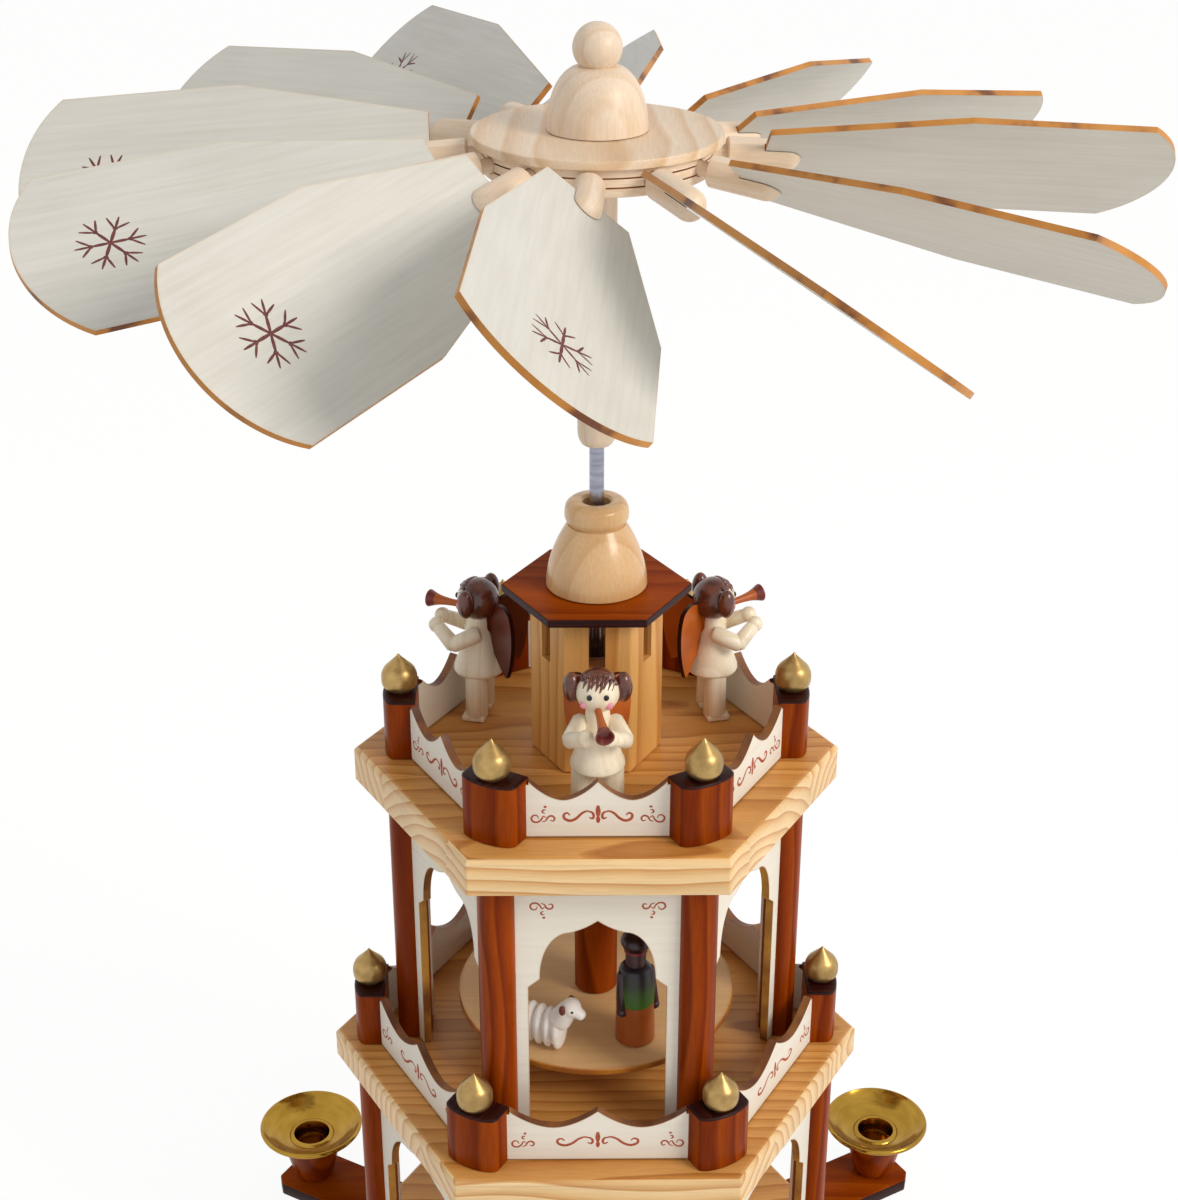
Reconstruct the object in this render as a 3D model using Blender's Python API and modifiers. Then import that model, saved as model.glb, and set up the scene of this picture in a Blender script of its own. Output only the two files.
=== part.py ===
"""A six-sided, two-tier candle pyramid with a twelve-blade rotor, in metres, +Z up.

The origin is on the shaft's axis, on the floor. The front is -Y. The whole stack stands on the candle arms:
arms, base, lower arcade, middle deck, upper arcade, top deck, lantern. The rotor is the hub with its blades,
the shaft, and two turntables. The shaft's point stands in a cup on the base.
"""

from math import cos, pi, radians, sin

import bmesh
import bpy
from mathutils import Euler, Matrix, Vector

SIDES = 6
FACE_TURN = pi / SIDES  # from a corner of the hexagon to the middle of the next face
APOTHEM = cos(FACE_TURN)  # of a hexagon whose corners are at radius 1
FIT = 0.0003  # gap between pieces that touch
RUN = 0.0025  # radial clearance of the shaft in decks and roof
WIDE = 36  # sides of the widest turned pieces
MEDIUM = 16
SMALL = 12
FINE = 8
COARSE = 6
OVERSHOOT = 0.01  # how far a cutter runs past what it cuts

# The stack, from the floor up
ARM_THICK = 0.006
BASE_THICK = 0.009
LOWER_TIER = 0.111
MIDDLE_THICK = 0.012
UPPER_TIER = 0.111
TOP_THICK = 0.014
BASE_BOTTOM = ARM_THICK + FIT
BASE_TOP = BASE_BOTTOM + BASE_THICK
MIDDLE_BOTTOM = BASE_TOP + LOWER_TIER
MIDDLE_TOP = MIDDLE_BOTTOM + MIDDLE_THICK
TOP_BOTTOM = MIDDLE_TOP + UPPER_TIER
TOP_TOP = TOP_BOTTOM + TOP_THICK

# Decks: radius at the corners
TOP_RADIUS = 0.087
MIDDLE_STEP = 0.013
BASE_STEP = 0.015
MIDDLE_RADIUS = TOP_RADIUS + MIDDLE_STEP
BASE_RADIUS = MIDDLE_RADIUS + BASE_STEP
DECK_ROUND = 0.0025

# Arcades: a column under each corner and an arched panel between two columns
COLUMN_RADIUS = 0.0065
UPPER_COLUMN_INSET = 0.018
LOWER_COLUMN_INSET = 0.0145
UPPER_RING = TOP_RADIUS - UPPER_COLUMN_INSET
LOWER_RING = MIDDLE_RADIUS - LOWER_COLUMN_INSET
PANEL_THICK = 0.003
JAMB = 0.004
ARCH_HEAD = 0.019  # panel left above the arch's point
ARCH_RISE = 0.0273  # from the shoulder to the point
SHOULDER_STEP = 0.004
SHOULDER_RISE = 0.0034

# Galleries: a D-shaped post with an onion finial at each corner, and a scalloped fence panel between them
POST_WIDTH = 0.0206
POST_DEPTH = 0.012
POST_BULGE = 0.004
POST_HEIGHT = 0.0228
TOP_POST_INSET = 0.0175
MIDDLE_POST_INSET = 0.0145
FENCE_HEIGHT = 0.021
FENCE_DIP = 0.007
FINIAL_RADIUS = 0.0064
FINIAL_HEIGHT = 0.0142

# Lantern on the top deck
DRUM_RADIUS = 0.0233
DRUM_HEIGHT = 0.061
DRUM_BORE = 0.009
SLOT_WIDTH = 0.0057
SLOT_HEIGHT = 0.021
ROOF_RADIUS = 0.033
ROOF_THICK = 0.003
DOME_RADIUS = 0.0175
DOME_HEIGHT = 0.0227
COLLAR_RADIUS = 0.011
COLLAR_HEIGHT = 0.0085
COLLAR_HOLE = 0.00475

# Rotor
SHAFT_RADIUS = 0.0025
SHAFT_POINT = 0.005
NECK_RADIUS = 0.0065
NECK_LENGTH = 0.0934
NECK_CLEARANCE = 0.020  # from the lantern's collar up to the neck's lower end
NECK_SOCKET = 0.02
HUB_RADIUS = 0.0365
HUB_THICK = 0.0088
COVER_RADIUS = 0.040
COVER_THICK = 0.003
CAP_RADIUS = 0.016
CAP_HEIGHT = 0.0195
BALL_RADIUS = 0.0078
CUP_RADIUS = 0.007
CUP_HEIGHT = 0.006
CUP_DEPTH = 0.004
SHAFT_TIP = 0.0004
COVER_ROUND = 0.0008
BLADE_AXIS_RISE = 0.0003  # of the blades' axes above the middle of the hub's edge

# Blades and their holders, along each blade's own axis from the rim of the hub
FIRST_BLADE = -91.5  # azimuth, in degrees; the others follow clockwise from above
BLADES_AT_REST = (  # pitch from flat, droop from level, and swing from an even spacing, in degrees
    (40, 5.0, -2.5),
    (44, 8.0, -3.0),
    (30, 5.0, -3.5),
    (48, 5.0, 1.0),
    (42, 4.5, -1.5),
    (44, 2.5, -0.5),
    (34, 5.5, 2.0),
    (44, 9.0, 2.0),
    (39, 7.5, 5.5),
    (39, 3.5, 4.0),
    (32, 5.0, 0.5),
    (36, 5.0, -2.0),
)
BLADE_COUNT = len(BLADES_AT_REST)
BLADE_THICK = 0.002
BLADE_ROOT = 0.0160
BLADE_NECK = 0.0600  # length of the part that widens
BLADE_SIDE = 0.0569  # length of the part with parallel sides
BLADE_TIP = 0.014  # rise of the round end
BLADE_ROOT_HALF = 0.0154
BLADE_HALF = 0.0307
TENON_RADIUS = 0.0025
TENON_DEPTH = 0.008
HOLDER_RADIUS = 0.005
HOLDER_START = 0.0042
HOLDER_END = 0.028

# Turntables and their spacer tubes
TURNTABLE_LIFT = 0.0209  # of its upper face above the deck
TURNTABLE_THICK = 0.0025
TURNTABLE_CLEARANCE = 0.0062
SLEEVE_RADIUS = 0.008
SLEEVE_ROUND = 0.0005
SLEEVE_HEADROOM = 0.004
SHEEP_HEIGHT = 0.0233
SHEPHERD_HEIGHT = 0.0465
SHEEP_INSET = 0.0105  # of the figure's middle from the turntable's edge
SHEPHERD_INSET = 0.0163
SHEEP_AZIMUTH = radians(-117)
SHEPHERD_AZIMUTH = radians(-67)

# Angels on the top deck
ANGEL_HEIGHT = 0.0541
WING_SWEEP = radians(45)  # of each wing from straight sideways towards the back
ANGELS = {  # where each stands round the deck, which way it faces, and how far it stands behind the fence
    "angel_front": (radians(-90), radians(-90), 0.0152),
    "angel_left": (radians(150), radians(168), 0.0112),
    "angel_right": (radians(30), radians(12), 0.0112),
}

# Candle arms and dishes
ARM_HALF = 0.0135
ARM_LENGTH = 0.154
ARM_CLIP = 0.004
CUP_INSET = 0.0115  # of a cup's middle from the end of its arm
CANDLE_RING = ARM_LENGTH - CUP_INSET
HOLDER_CUP_TOP = 0.0132
HOLDER_CUP_FOOT = 0.0078
HOLDER_CUP_HEIGHT = 0.020
CUP_FOOT_RISE = 0.003  # height of the cup's rounded foot
DISH_RADIUS = 0.022
DISH_RISE = 0.005
DISH_SHEET = 0.0008
DISH_ROLL = 0.0011
SOCKET_RADIUS = 0.0088
SOCKET_WALL = 0.0014
SOCKET_DEPTH = 0.013

COLOURS = {
    "pine": ("E3B77A", 0.45, 0.0),
    "stained": ("A04808", 0.30, 0.0),
    "pale_ply": ("E8E2D4", 0.60, 0.0),
    "birch": ("E8D0B0", 0.50, 0.0),
    "honey": ("E0B880", 0.35, 0.0),
    "brass": ("B8882C", 0.22, 1.0),
    "steel": ("B0A898", 0.30, 1.0),
    "cream": ("EEDFC0", 0.50, 0.0),
    "white": ("F0E8E0", 0.60, 0.0),
    "green": ("3E6B1E", 0.45, 0.0),
}


def linear(channel):
    """One channel of an sRGB colour as the linear value that a shader takes."""
    share = channel / 255
    return share / 12.92 if share <= 0.04045 else ((share + 0.055) / 1.055) ** 2.4


def material(name):
    """The Principled material of this name, made at its first use."""
    found = bpy.data.materials.get(name)
    if found:
        return found
    code, roughness, metallic = COLOURS[name]
    made = bpy.data.materials.new(name)
    made.use_nodes = True
    shader = made.node_tree.nodes["Principled BSDF"]
    rgb = [linear(int(code[i : i + 2], 16)) for i in (0, 2, 4)]
    shader.inputs["Base Color"].default_value = (*rgb, 1)
    shader.inputs["Roughness"].default_value = roughness
    shader.inputs["Metallic"].default_value = metallic
    made.diffuse_color = (*rgb, 1)
    return made


def link(name, mesh):
    """A new object in the scene, in no other collection yet."""
    obj = bpy.data.objects.new(name, mesh)
    bpy.context.scene.collection.objects.link(obj)
    return obj


def solid(name, shape):
    """The object made from a bmesh, which is freed."""
    mesh = bpy.data.meshes.new(name)
    shape.to_mesh(mesh)
    shape.free()
    return link(name, mesh)


def bake(obj):
    """Replaces the object's mesh by what its modifiers make of it."""
    graph = bpy.context.evaluated_depsgraph_get()
    mesh = bpy.data.meshes.new_from_object(obj.evaluated_get(graph))
    obj.modifiers.clear()
    obj.data = mesh
    return obj


def combine(obj, other, operation):
    """Applies one Boolean to the object and removes the other operand."""
    boolean = obj.modifiers.new(operation, "BOOLEAN")
    boolean.operation = operation
    boolean.solver = "EXACT"
    boolean.object = other
    bake(obj)
    bpy.data.objects.remove(other)
    return obj


def joined(pieces):
    """One closed body from pieces that overlap."""
    body = pieces[0]
    for piece in pieces[1:]:
        combine(body, piece, "UNION")
    return body


def copied(obj, matrix):
    """A copy of the object with its own mesh, moved by the matrix."""
    mesh = obj.data.copy()
    mesh.transform(matrix)
    return link(obj.name, mesh)


def around(obj, count):
    """The object and its copies around Z, joined into one body."""
    return joined([obj] + [copied(obj, Matrix.Rotation(2 * pi * k / count, 4, "Z")) for k in range(1, count)])


def moved(obj, matrix):
    obj.data.transform(matrix)
    return obj


def onto_face(panel, ring, bottom):
    """Stands an upright panel between the corners of a hexagonal ring, beside the corner at +X."""
    turn = Matrix.Rotation(pi / 2 + FACE_TURN, 4, "Z")
    return moved(panel, turn @ Matrix.Translation((0, -ring * APOTHEM, bottom + FIT)))


def scaled(points, unit):
    """Points drawn in parts of a figure's height, as metres."""
    return [Vector(point) * unit for point in points]


def turned(name, profile, segments, closed=False):
    """A solid of revolution about Z. The profile is (radius, z), running down the outer side."""
    mesh = bpy.data.meshes.new(name)
    edges = [(i, i + 1) for i in range(len(profile) - 1)]
    if closed:
        edges.append((len(profile) - 1, 0))
    mesh.from_pydata([(radius, 0, z) for radius, z in profile], edges, [])
    obj = link(name, mesh)
    screw = obj.modifiers.new("Screw", "SCREW")
    screw.steps = segments
    screw.render_steps = segments
    screw.use_merge_vertices = True
    screw.merge_threshold = 0.00001
    return bake(obj)


def plate(name, outline, thickness):
    """A flat piece of this outline in the XY plane, half its thickness to each side."""
    curve = bpy.data.curves.new(name, "CURVE")
    curve.dimensions = "2D"
    curve.fill_mode = "BOTH"
    curve.extrude = thickness / 2
    spline = curve.splines.new("POLY")
    spline.points.add(len(outline) - 1)
    for point, (x, y) in zip(spline.points, outline):
        point.co = (x, y, 0, 1)
    spline.use_cyclic_u = True
    drawn = link(name, curve)
    graph = bpy.context.evaluated_depsgraph_get()
    mesh = bpy.data.meshes.new_from_object(drawn.evaluated_get(graph))
    bpy.data.objects.remove(drawn)
    shape = bmesh.new()
    shape.from_mesh(mesh)
    bmesh.ops.remove_doubles(shape, verts=shape.verts, dist=0.00001)
    return solid(name, shape)


def upright(obj):
    """Turns a plate drawn in XY so that its Y becomes +Z and it faces the front."""
    return moved(obj, Matrix.Rotation(pi / 2, 4, "X"))


def prism(name, radius, bottom, top, sides, turn=0.0):
    """A regular prism whose first corner is at this turn from +X."""
    shape = bmesh.new()
    place = Matrix.Translation((0, 0, (bottom + top) / 2)) @ Matrix.Rotation(turn + pi / 2, 4, "Z")
    bmesh.ops.create_cone(
        shape, cap_ends=True, segments=sides, radius1=radius, radius2=radius, depth=top - bottom, matrix=place
    )
    return solid(name, shape)


def limb(name, start, end, start_radius, end_radius, sides):
    """A straight tapered rod between two points."""
    start, end = Vector(start), Vector(end)
    run = end - start
    place = Matrix.Translation((start + end) / 2) @ run.to_track_quat("Z", "Y").to_matrix().to_4x4()
    shape = bmesh.new()
    bmesh.ops.create_cone(
        shape,
        cap_ends=True,
        segments=sides,
        radius1=start_radius,
        radius2=end_radius,
        depth=run.length,
        matrix=place,
    )
    return solid(name, shape)


def ball(name, centre, radius, segments=12, rings=8, stretch=(1, 1, 1)):
    shape = bmesh.new()
    place = Matrix.Translation(centre) @ Matrix.Diagonal((*stretch, 1))
    bmesh.ops.create_uvsphere(shape, u_segments=segments, v_segments=rings, radius=radius, matrix=place)
    return solid(name, shape)


def box(name, low, high):
    """A box between two opposite corners."""
    low, high = Vector(low), Vector(high)
    place = Matrix.Translation((low + high) / 2) @ Matrix.Diagonal((*(high - low), 1))
    shape = bmesh.new()
    bmesh.ops.create_cube(shape, size=1, matrix=place)
    return solid(name, shape)


def bezier(start, pull_start, pull_end, end, steps):
    """Points along a cubic, without its first point."""
    a, b, c, d = Vector(start), Vector(pull_start), Vector(pull_end), Vector(end)
    points = []
    for i in range(1, steps + 1):
        t = i / steps
        point = a * (1 - t) ** 3 + b * 3 * t * (1 - t) ** 2 + c * 3 * t * t * (1 - t) + d * t**3
        points.append(tuple(point))
    return points


def keep(obj, collection, colour, parent=None, name=None):
    """Names the finished object, gives it its material and puts it in the model's collection."""
    obj.name = name or obj.name
    obj.data.name = obj.name
    obj.data.materials.clear()
    obj.data.materials.append(material(colour))
    obj.data.shade_smooth()
    obj.data.set_sharp_from_angle(angle=radians(35))
    for held in list(obj.users_collection):
        held.objects.unlink(obj)
    collection.objects.link(obj)
    obj.parent = parent
    return obj


def empty(name, collection, location=(0, 0, 0), rotation=(0, 0, 0), parent=None):
    made = bpy.data.objects.new(name, None)
    made.empty_display_size = 0.01
    made.location = location
    made.rotation_euler = rotation
    made.parent = parent
    collection.objects.link(made)
    return made


def deck(name, radius, bottom, top, hole):
    """A hexagonal board with rounded upper edges and a hole for the shaft."""
    obj = prism(name, radius, bottom, top, SIDES)
    shape = bmesh.new()
    shape.from_mesh(obj.data)
    rim = [edge for edge in shape.edges if min(vert.co.z for vert in edge.verts) > (bottom + top) / 2]
    bmesh.ops.bevel(shape, geom=rim, offset=DECK_ROUND, segments=3, profile=0.5, affect="EDGES")
    shape.to_mesh(obj.data)
    shape.free()
    if hole:
        combine(obj, prism("hole", hole, bottom - OVERSHOOT, top + OVERSHOOT, MEDIUM), "DIFFERENCE")
    return obj


def arch_outline(half_chord, height):
    """Half of an arched panel's outline: up the edge, along the top, and down to the point of the arch."""
    half = half_chord - COLUMN_RADIUS - JAMB
    point = height - ARCH_HEAD
    shoulder = point - ARCH_RISE
    spring = (half - SHOULDER_STEP, shoulder + SHOULDER_RISE)
    haunch = (spring[0] * 0.475, point - ARCH_RISE * 0.172)
    pull_up = (spring[0], spring[1] + ARCH_RISE * 0.44)
    round_part = bezier(spring, pull_up, (spring[0] * 0.75, haunch[1]), haunch, 4)
    pull_in = (haunch[0] * 0.53, haunch[1] + ARCH_RISE * 0.04)
    flat_part = bezier(haunch, pull_in, (haunch[0] * 0.2, point - ARCH_RISE * 0.05), (0, point), 2)
    return [(half, 0), (half, shoulder), spring] + round_part + flat_part


def arcade(name, ring, bottom, top):
    """Six columns with six arched panels between them, from one deck up to the next."""
    height = top - bottom - 2 * FIT
    column = prism("column", COLUMN_RADIUS, bottom, top, SMALL)
    moved(column, Matrix.Translation((ring, 0, 0)))
    half_chord = ring / 2
    edge = half_chord - COLUMN_RADIUS / 2
    inner = arch_outline(half_chord, height)
    right = [(edge, height), (edge, 0)] + inner
    left = [(-x, y) for x, y in reversed(inner[:-1])] + [(-edge, 0), (-edge, height)]
    panel = onto_face(upright(plate("arch", right + left, PANEL_THICK)), ring, bottom)
    return around(joined([column, panel]), SIDES)


def post():
    """A D-shaped post at the origin, its round side to +X."""
    flat = POST_DEPTH / 2 - POST_BULGE
    half = POST_WIDTH / 2
    steps = 4
    outline = [(-POST_DEPTH / 2, half), (-POST_DEPTH / 2, -half)]
    for i in range(steps + 1):
        turn = -pi / 2 + pi * i / steps
        outline.append((flat + POST_BULGE * cos(turn), half * sin(turn)))
    return moved(plate("post", outline, POST_HEIGHT), Matrix.Translation((0, 0, POST_HEIGHT / 2)))


def finial():
    """An onion with a drawn-out point, its foot let into the post."""
    shape = ((0.0, 1.0), (0.14, 0.92), (0.36, 0.82), (0.62, 0.70), (0.83, 0.60), (0.97, 0.46), (1.0, 0.33))
    shape += ((0.97, 0.18), (0.68, 0.03), (0.68, -0.1))
    profile = [(FINIAL_RADIUS * r, POST_HEIGHT + FINIAL_HEIGHT * z) for r, z in shape]
    return turned("finial", profile + [(0, profile[-1][1])], FINE)


def fence_outline(half_chord):
    """A panel that dips twice between its two ends and the pointed middle."""
    end = half_chord - POST_WIDTH / 2 / APOTHEM
    shoulder = FENCE_HEIGHT * 0.95
    steps = 6
    top = []
    for i in range(2 * steps + 1):
        along = i / steps
        share = abs(2 * (along % 1) - 1) if i < 2 * steps else 1.0
        top.append((end * (1 - along), FENCE_HEIGHT - FENCE_DIP * (1 - share**1.8)))
    into_post = half_chord - POST_DEPTH / 4
    right = [(into_post, 0), (into_post, shoulder), (end, shoulder)]
    return right + top + [(-x, y) for x, y in reversed(right)]


def gallery(name, ring, bottom):
    """Six posts with finials and six fence panels."""
    corner = moved(joined([post(), finial()]), Matrix.Translation((ring, 0, bottom)))
    panel = onto_face(upright(plate("fence", fence_outline(ring / 2), PANEL_THICK)), ring, bottom)
    return around(joined([corner, panel]), SIDES)


def lantern_drum(bottom, top):
    """A hexagonal block, bored through, with a slot in each face from the bore out, open at the top."""
    drum = prism("lantern_drum", DRUM_RADIUS, bottom, top, SIDES)
    bore = prism("bore", DRUM_BORE, bottom - OVERSHOOT, top + OVERSHOOT, MEDIUM)
    combine(drum, bore, "DIFFERENCE")
    reach = DRUM_RADIUS + OVERSHOOT
    for k in range(SIDES // 2):
        low = (-reach, -SLOT_WIDTH / 2, top - SLOT_HEIGHT)
        slot = box("slot", low, (reach, SLOT_WIDTH / 2, top + OVERSHOOT))
        moved(slot, Matrix.Rotation(FACE_TURN + k * 2 * FACE_TURN, 4, "Z"))
        combine(drum, slot, "DIFFERENCE")
    return drum


def dome(bottom):
    """A rounded cap with a collar, bored for the shaft."""
    top = bottom + DOME_HEIGHT
    steps = 5
    side = []
    for i in range(steps + 1):
        share = i / steps
        drawn_in = (DOME_RADIUS - COLLAR_RADIUS * 0.92) * (1 - share) ** 1.9
        side.append((DOME_RADIUS - drawn_in, top - DOME_HEIGHT * share))
    bead = ((0.82, 1.0), (0.95, 0.88), (1.0, 0.55), (0.97, 0.2))
    collar = [(COLLAR_HOLE, top + COLLAR_HEIGHT)]
    collar += [(COLLAR_RADIUS * r, top + COLLAR_HEIGHT * z) for r, z in bead]
    return turned("lantern_dome", collar + side + [(COLLAR_HOLE, bottom)], 20, closed=True)


def hub_block(bottom, axis_z):
    """The round block with a hole for each blade holder's tenon, sunk along the blade's drooping axis."""
    block = prism("hub_block", HUB_RADIUS, bottom, bottom + HUB_THICK, WIDE)
    bore = TENON_RADIUS + FIT
    for k in range(BLADE_COUNT):
        hole = limb("hole", (-TENON_DEPTH - FIT, 0, 0), (OVERSHOOT, 0, 0), bore, bore, FINE)
        rim, turn = blade_pose(k, axis_z)
        moved(hole, Matrix.Translation(rim) @ turn.to_matrix().to_4x4())
        combine(block, hole, "DIFFERENCE")
    return block


def blade_pose(index, axis_z):
    """The point where this blade's axis leaves the hub, and its turns about its own X, Y and Z."""
    pitch, droop, swing = BLADES_AT_REST[index]
    azimuth = radians(FIRST_BLADE + swing) - 2 * pi * index / BLADE_COUNT
    rim = Vector((HUB_RADIUS * cos(azimuth), HUB_RADIUS * sin(azimuth), axis_z))
    return rim, Euler((-radians(pitch), radians(droop), azimuth))


def blade():
    """A thin board that widens from its root, runs parallel and ends in an arc."""
    shoulder = BLADE_ROOT + BLADE_NECK
    corner = shoulder + BLADE_SIDE
    arc_radius = (BLADE_HALF**2 + BLADE_TIP**2) / (2 * BLADE_TIP)
    centre = corner + BLADE_TIP - arc_radius
    steps = 10
    outline = [(BLADE_ROOT, BLADE_ROOT_HALF), (BLADE_ROOT, -BLADE_ROOT_HALF), (shoulder, -BLADE_HALF)]
    for i in range(steps + 1):
        y = -BLADE_HALF + 2 * BLADE_HALF * i / steps
        outline.append((centre + (arc_radius**2 - y**2) ** 0.5, y))
    return plate("blade", outline + [(shoulder, BLADE_HALF)], BLADE_THICK)


def blade_holder():
    """A rod with a round end, slotted for the blade, and a tenon that turns in the hub."""
    rod = [(0, HOLDER_END)]
    for turn in (radians(35), radians(65), radians(90)):
        rod.append((HOLDER_RADIUS * sin(turn), HOLDER_END - HOLDER_RADIUS * (1 - cos(turn))))
    rod += [
        (HOLDER_RADIUS, HOLDER_START),
        (TENON_RADIUS, HOLDER_START),
        (TENON_RADIUS, -TENON_DEPTH),
        (0, -TENON_DEPTH),
    ]
    holder = moved(turned("blade_holder", rod, FINE), Matrix.Rotation(pi / 2, 4, "Y"))
    half = BLADE_THICK / 2 + FIT
    low = (BLADE_ROOT - FIT, -2 * HOLDER_RADIUS, -half)
    slot = box("slot", low, (HOLDER_END + OVERSHOOT, 2 * HOLDER_RADIUS, half))
    return combine(holder, slot, "DIFFERENCE")


def angel():
    """A turned figure facing -Y: legs, flared tunic, head with side buns, bent arms, wings and a trumpet."""
    unit = ANGEL_HEIGHT / 54.1
    tunic = [(0, 41.2), (3.4, 40.9), (4.3, 35.2), (5.9, 29.4), (8.3, 22.3), (9.3, 18.8)]
    tunic += [(8.6, 17.8), (0, 17.8)]
    head = Vector((0, 0, 46.4)) * unit
    pieces = [turned("tunic", scaled(tunic, unit), SMALL), ball("head", head, 7.7 * unit, 10, 8)]
    for side in (-1, 1):
        sole, hip = scaled(((side * 5.0, 0, 1.2), (side * 5.0, 0, 19)), unit)
        pieces.append(limb("leg", sole, hip, 4.1 * unit, 3.9 * unit, FINE))
        heel, toe = scaled(((side * 5.0 - 3.4, -4.9, 0), (side * 5.0 + 3.4, 3.4, 2.2)), unit)
        pieces.append(box("foot", heel, toe))
        bun = Vector((side * 9.0, 0, 47.5)) * unit
        arm = ((side * 5.6, 0.5, 34.5), (side * 9.2, -7, 31.5), (side * 4.2, -14.5, 35.3))
        shoulder, elbow, hand = scaled(arm, unit)
        pieces.append(ball("bun", bun, 3.2 * unit, COARSE, 5, (1, 1, 1.75)))
        pieces.append(limb("upper_arm", shoulder, elbow, 3.1 * unit, 2.9 * unit, COARSE))
        pieces.append(limb("forearm", elbow, hand, 2.9 * unit, 2.4 * unit, COARSE))
        pieces.append(ball("hand", hand, 2.9 * unit, COARSE, 5))
        pieces.append(wing(side, unit))
    mouth, bell = scaled(((0, -5.4, 42.6), (0.6, -20.5, 40.6)), unit)
    pieces.append(limb("trumpet", mouth, bell, 1.2 * unit, 3.2 * unit, COARSE))
    return joined(pieces)


def wing(side, unit):
    """One leaf of thin board, let into the back of the tunic and swept backwards."""
    outline = [(-2, 30.8), (-2, 40.8)] + bezier((-2, 40.8), (2, 46.3), (9, 49.3), (13.5, 44.8), 4)
    outline += bezier((13.5, 44.8), (16.5, 39.3), (16, 28.3), (11.5, 19.5), 4)
    outline += bezier((11.5, 19.5), (8, 20.3), (4, 26.3), (-2, 30.8), 3)[:-1]
    leaf = upright(plate("wing", scaled(outline, unit), 1.6 * unit))
    turn = WING_SWEEP if side > 0 else pi - WING_SWEEP
    return moved(leaf, Matrix.Translation(Vector((0, 4.6, 0)) * unit) @ Matrix.Rotation(turn, 4, "Z"))


def shepherd():
    """A turned figure with a hat, and an arm at each side."""
    unit = SHEPHERD_HEIGHT / 46.5
    hat = [(0, 46.5), (2.5, 45.8), (4.6, 44.2), (5.5, 42.0), (4.3, 39.2), (4.3, 38.0)]
    head = [(3.7, 37.6), (3.7, 32.4)]
    coat = [(5.6, 31.2), (6.7, 24.5), (7.0, 16.6), (7.25, 3.5), (7.25, 0.6), (6.8, 0), (0, 0)]
    pieces = [turned("shepherd", scaled(hat + head + coat, unit), SMALL)]
    for side in (-1, 1):
        arm = ((side * 5.4, 0, 29), (side * 6.8, -2.2, 15.5), (side * 6.8, -2.4, 14.5))
        shoulder, wrist, hand = scaled(arm, unit)
        pieces.append(limb("arm", shoulder, wrist, 2.0 * unit, 1.8 * unit, COARSE))
        pieces.append(ball("hand", hand, 2.0 * unit, COARSE, 5))
    return joined(pieces)


def sheep():
    """A sheep facing +X, its fleece fluted down to the ground."""
    unit = SHEEP_HEIGHT / 23.3
    neck, crown, nose = scaled(((6.2, 0, 13), (10.0, 0, 19.0), (16.0, 0, 17.0)), unit)
    head = Vector((10.8, 0, 19.6)) * unit
    pieces = [limb("sheep", neck, crown, 4.4 * unit, 3.6 * unit, FINE)]
    for x in (-9.0, -5.3, -1.6, 2.1, 5.8):
        flute = Vector((x, 0, 8.5)) * unit
        pieces.append(ball("flute", flute, 2.3 * unit, 10, 8, (1.0, 2.2, 3.7)))
    pieces.append(ball("head", head, 3.7 * unit, FINE, 6))
    pieces.append(limb("muzzle", head, nose, 3.0 * unit, 1.8 * unit, COARSE))
    for side in (-1, 1):
        ear = Vector((9.2, side * 3.7, 20.5)) * unit
        pieces.append(ball("ear", ear, 1.8 * unit, COARSE, 5, (1.3, 0.8, 0.7)))
    return joined(pieces)


def candle_arms():
    """A star of six arms cut from one board, with a turned cup near the end of each arm."""
    outline = []
    for k in range(SIDES):
        turn = FACE_TURN + 2 * FACE_TURN * k
        corner = ARM_HALF / sin(FACE_TURN) * APOTHEM
        points = [(corner, -ARM_HALF), (ARM_LENGTH - ARM_CLIP, -ARM_HALF), (ARM_LENGTH, -ARM_HALF + ARM_CLIP)]
        points += [(ARM_LENGTH, ARM_HALF - ARM_CLIP), (ARM_LENGTH - ARM_CLIP, ARM_HALF)]
        outline += [(x * cos(turn) - y * sin(turn), x * sin(turn) + y * cos(turn)) for x, y in points]
    star = moved(plate("candle_arms", outline, ARM_THICK), Matrix.Translation((0, 0, ARM_THICK / 2)))
    top = ARM_THICK + HOLDER_CUP_HEIGHT
    bore = SOCKET_RADIUS + FIT
    floor = dish_seat() - SOCKET_DEPTH - DISH_SHEET - FIT
    profile = [(0, floor), (bore, floor), (bore, top), (HOLDER_CUP_TOP, top)]
    profile.append((HOLDER_CUP_FOOT * 1.12, ARM_THICK + CUP_FOOT_RISE))
    profile.append((HOLDER_CUP_FOOT, ARM_THICK + CUP_FOOT_RISE * 0.2))
    profile += [(HOLDER_CUP_FOOT, ARM_THICK / 2), (0, ARM_THICK / 2)]
    cup = turned("cup", profile, MEDIUM)
    pieces = [star]
    for k in range(SIDES):
        turn = Matrix.Rotation(FACE_TURN + 2 * FACE_TURN * k, 4, "Z")
        pieces.append(copied(cup, turn @ Matrix.Translation((CANDLE_RING, 0, 0))))
    bpy.data.objects.remove(cup)
    return joined(pieces)


def dish_seat():
    """Height of the dish's upper face round the socket, where the dish lies on the cup."""
    return ARM_THICK + HOLDER_CUP_HEIGHT + FIT + DISH_SHEET


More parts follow.
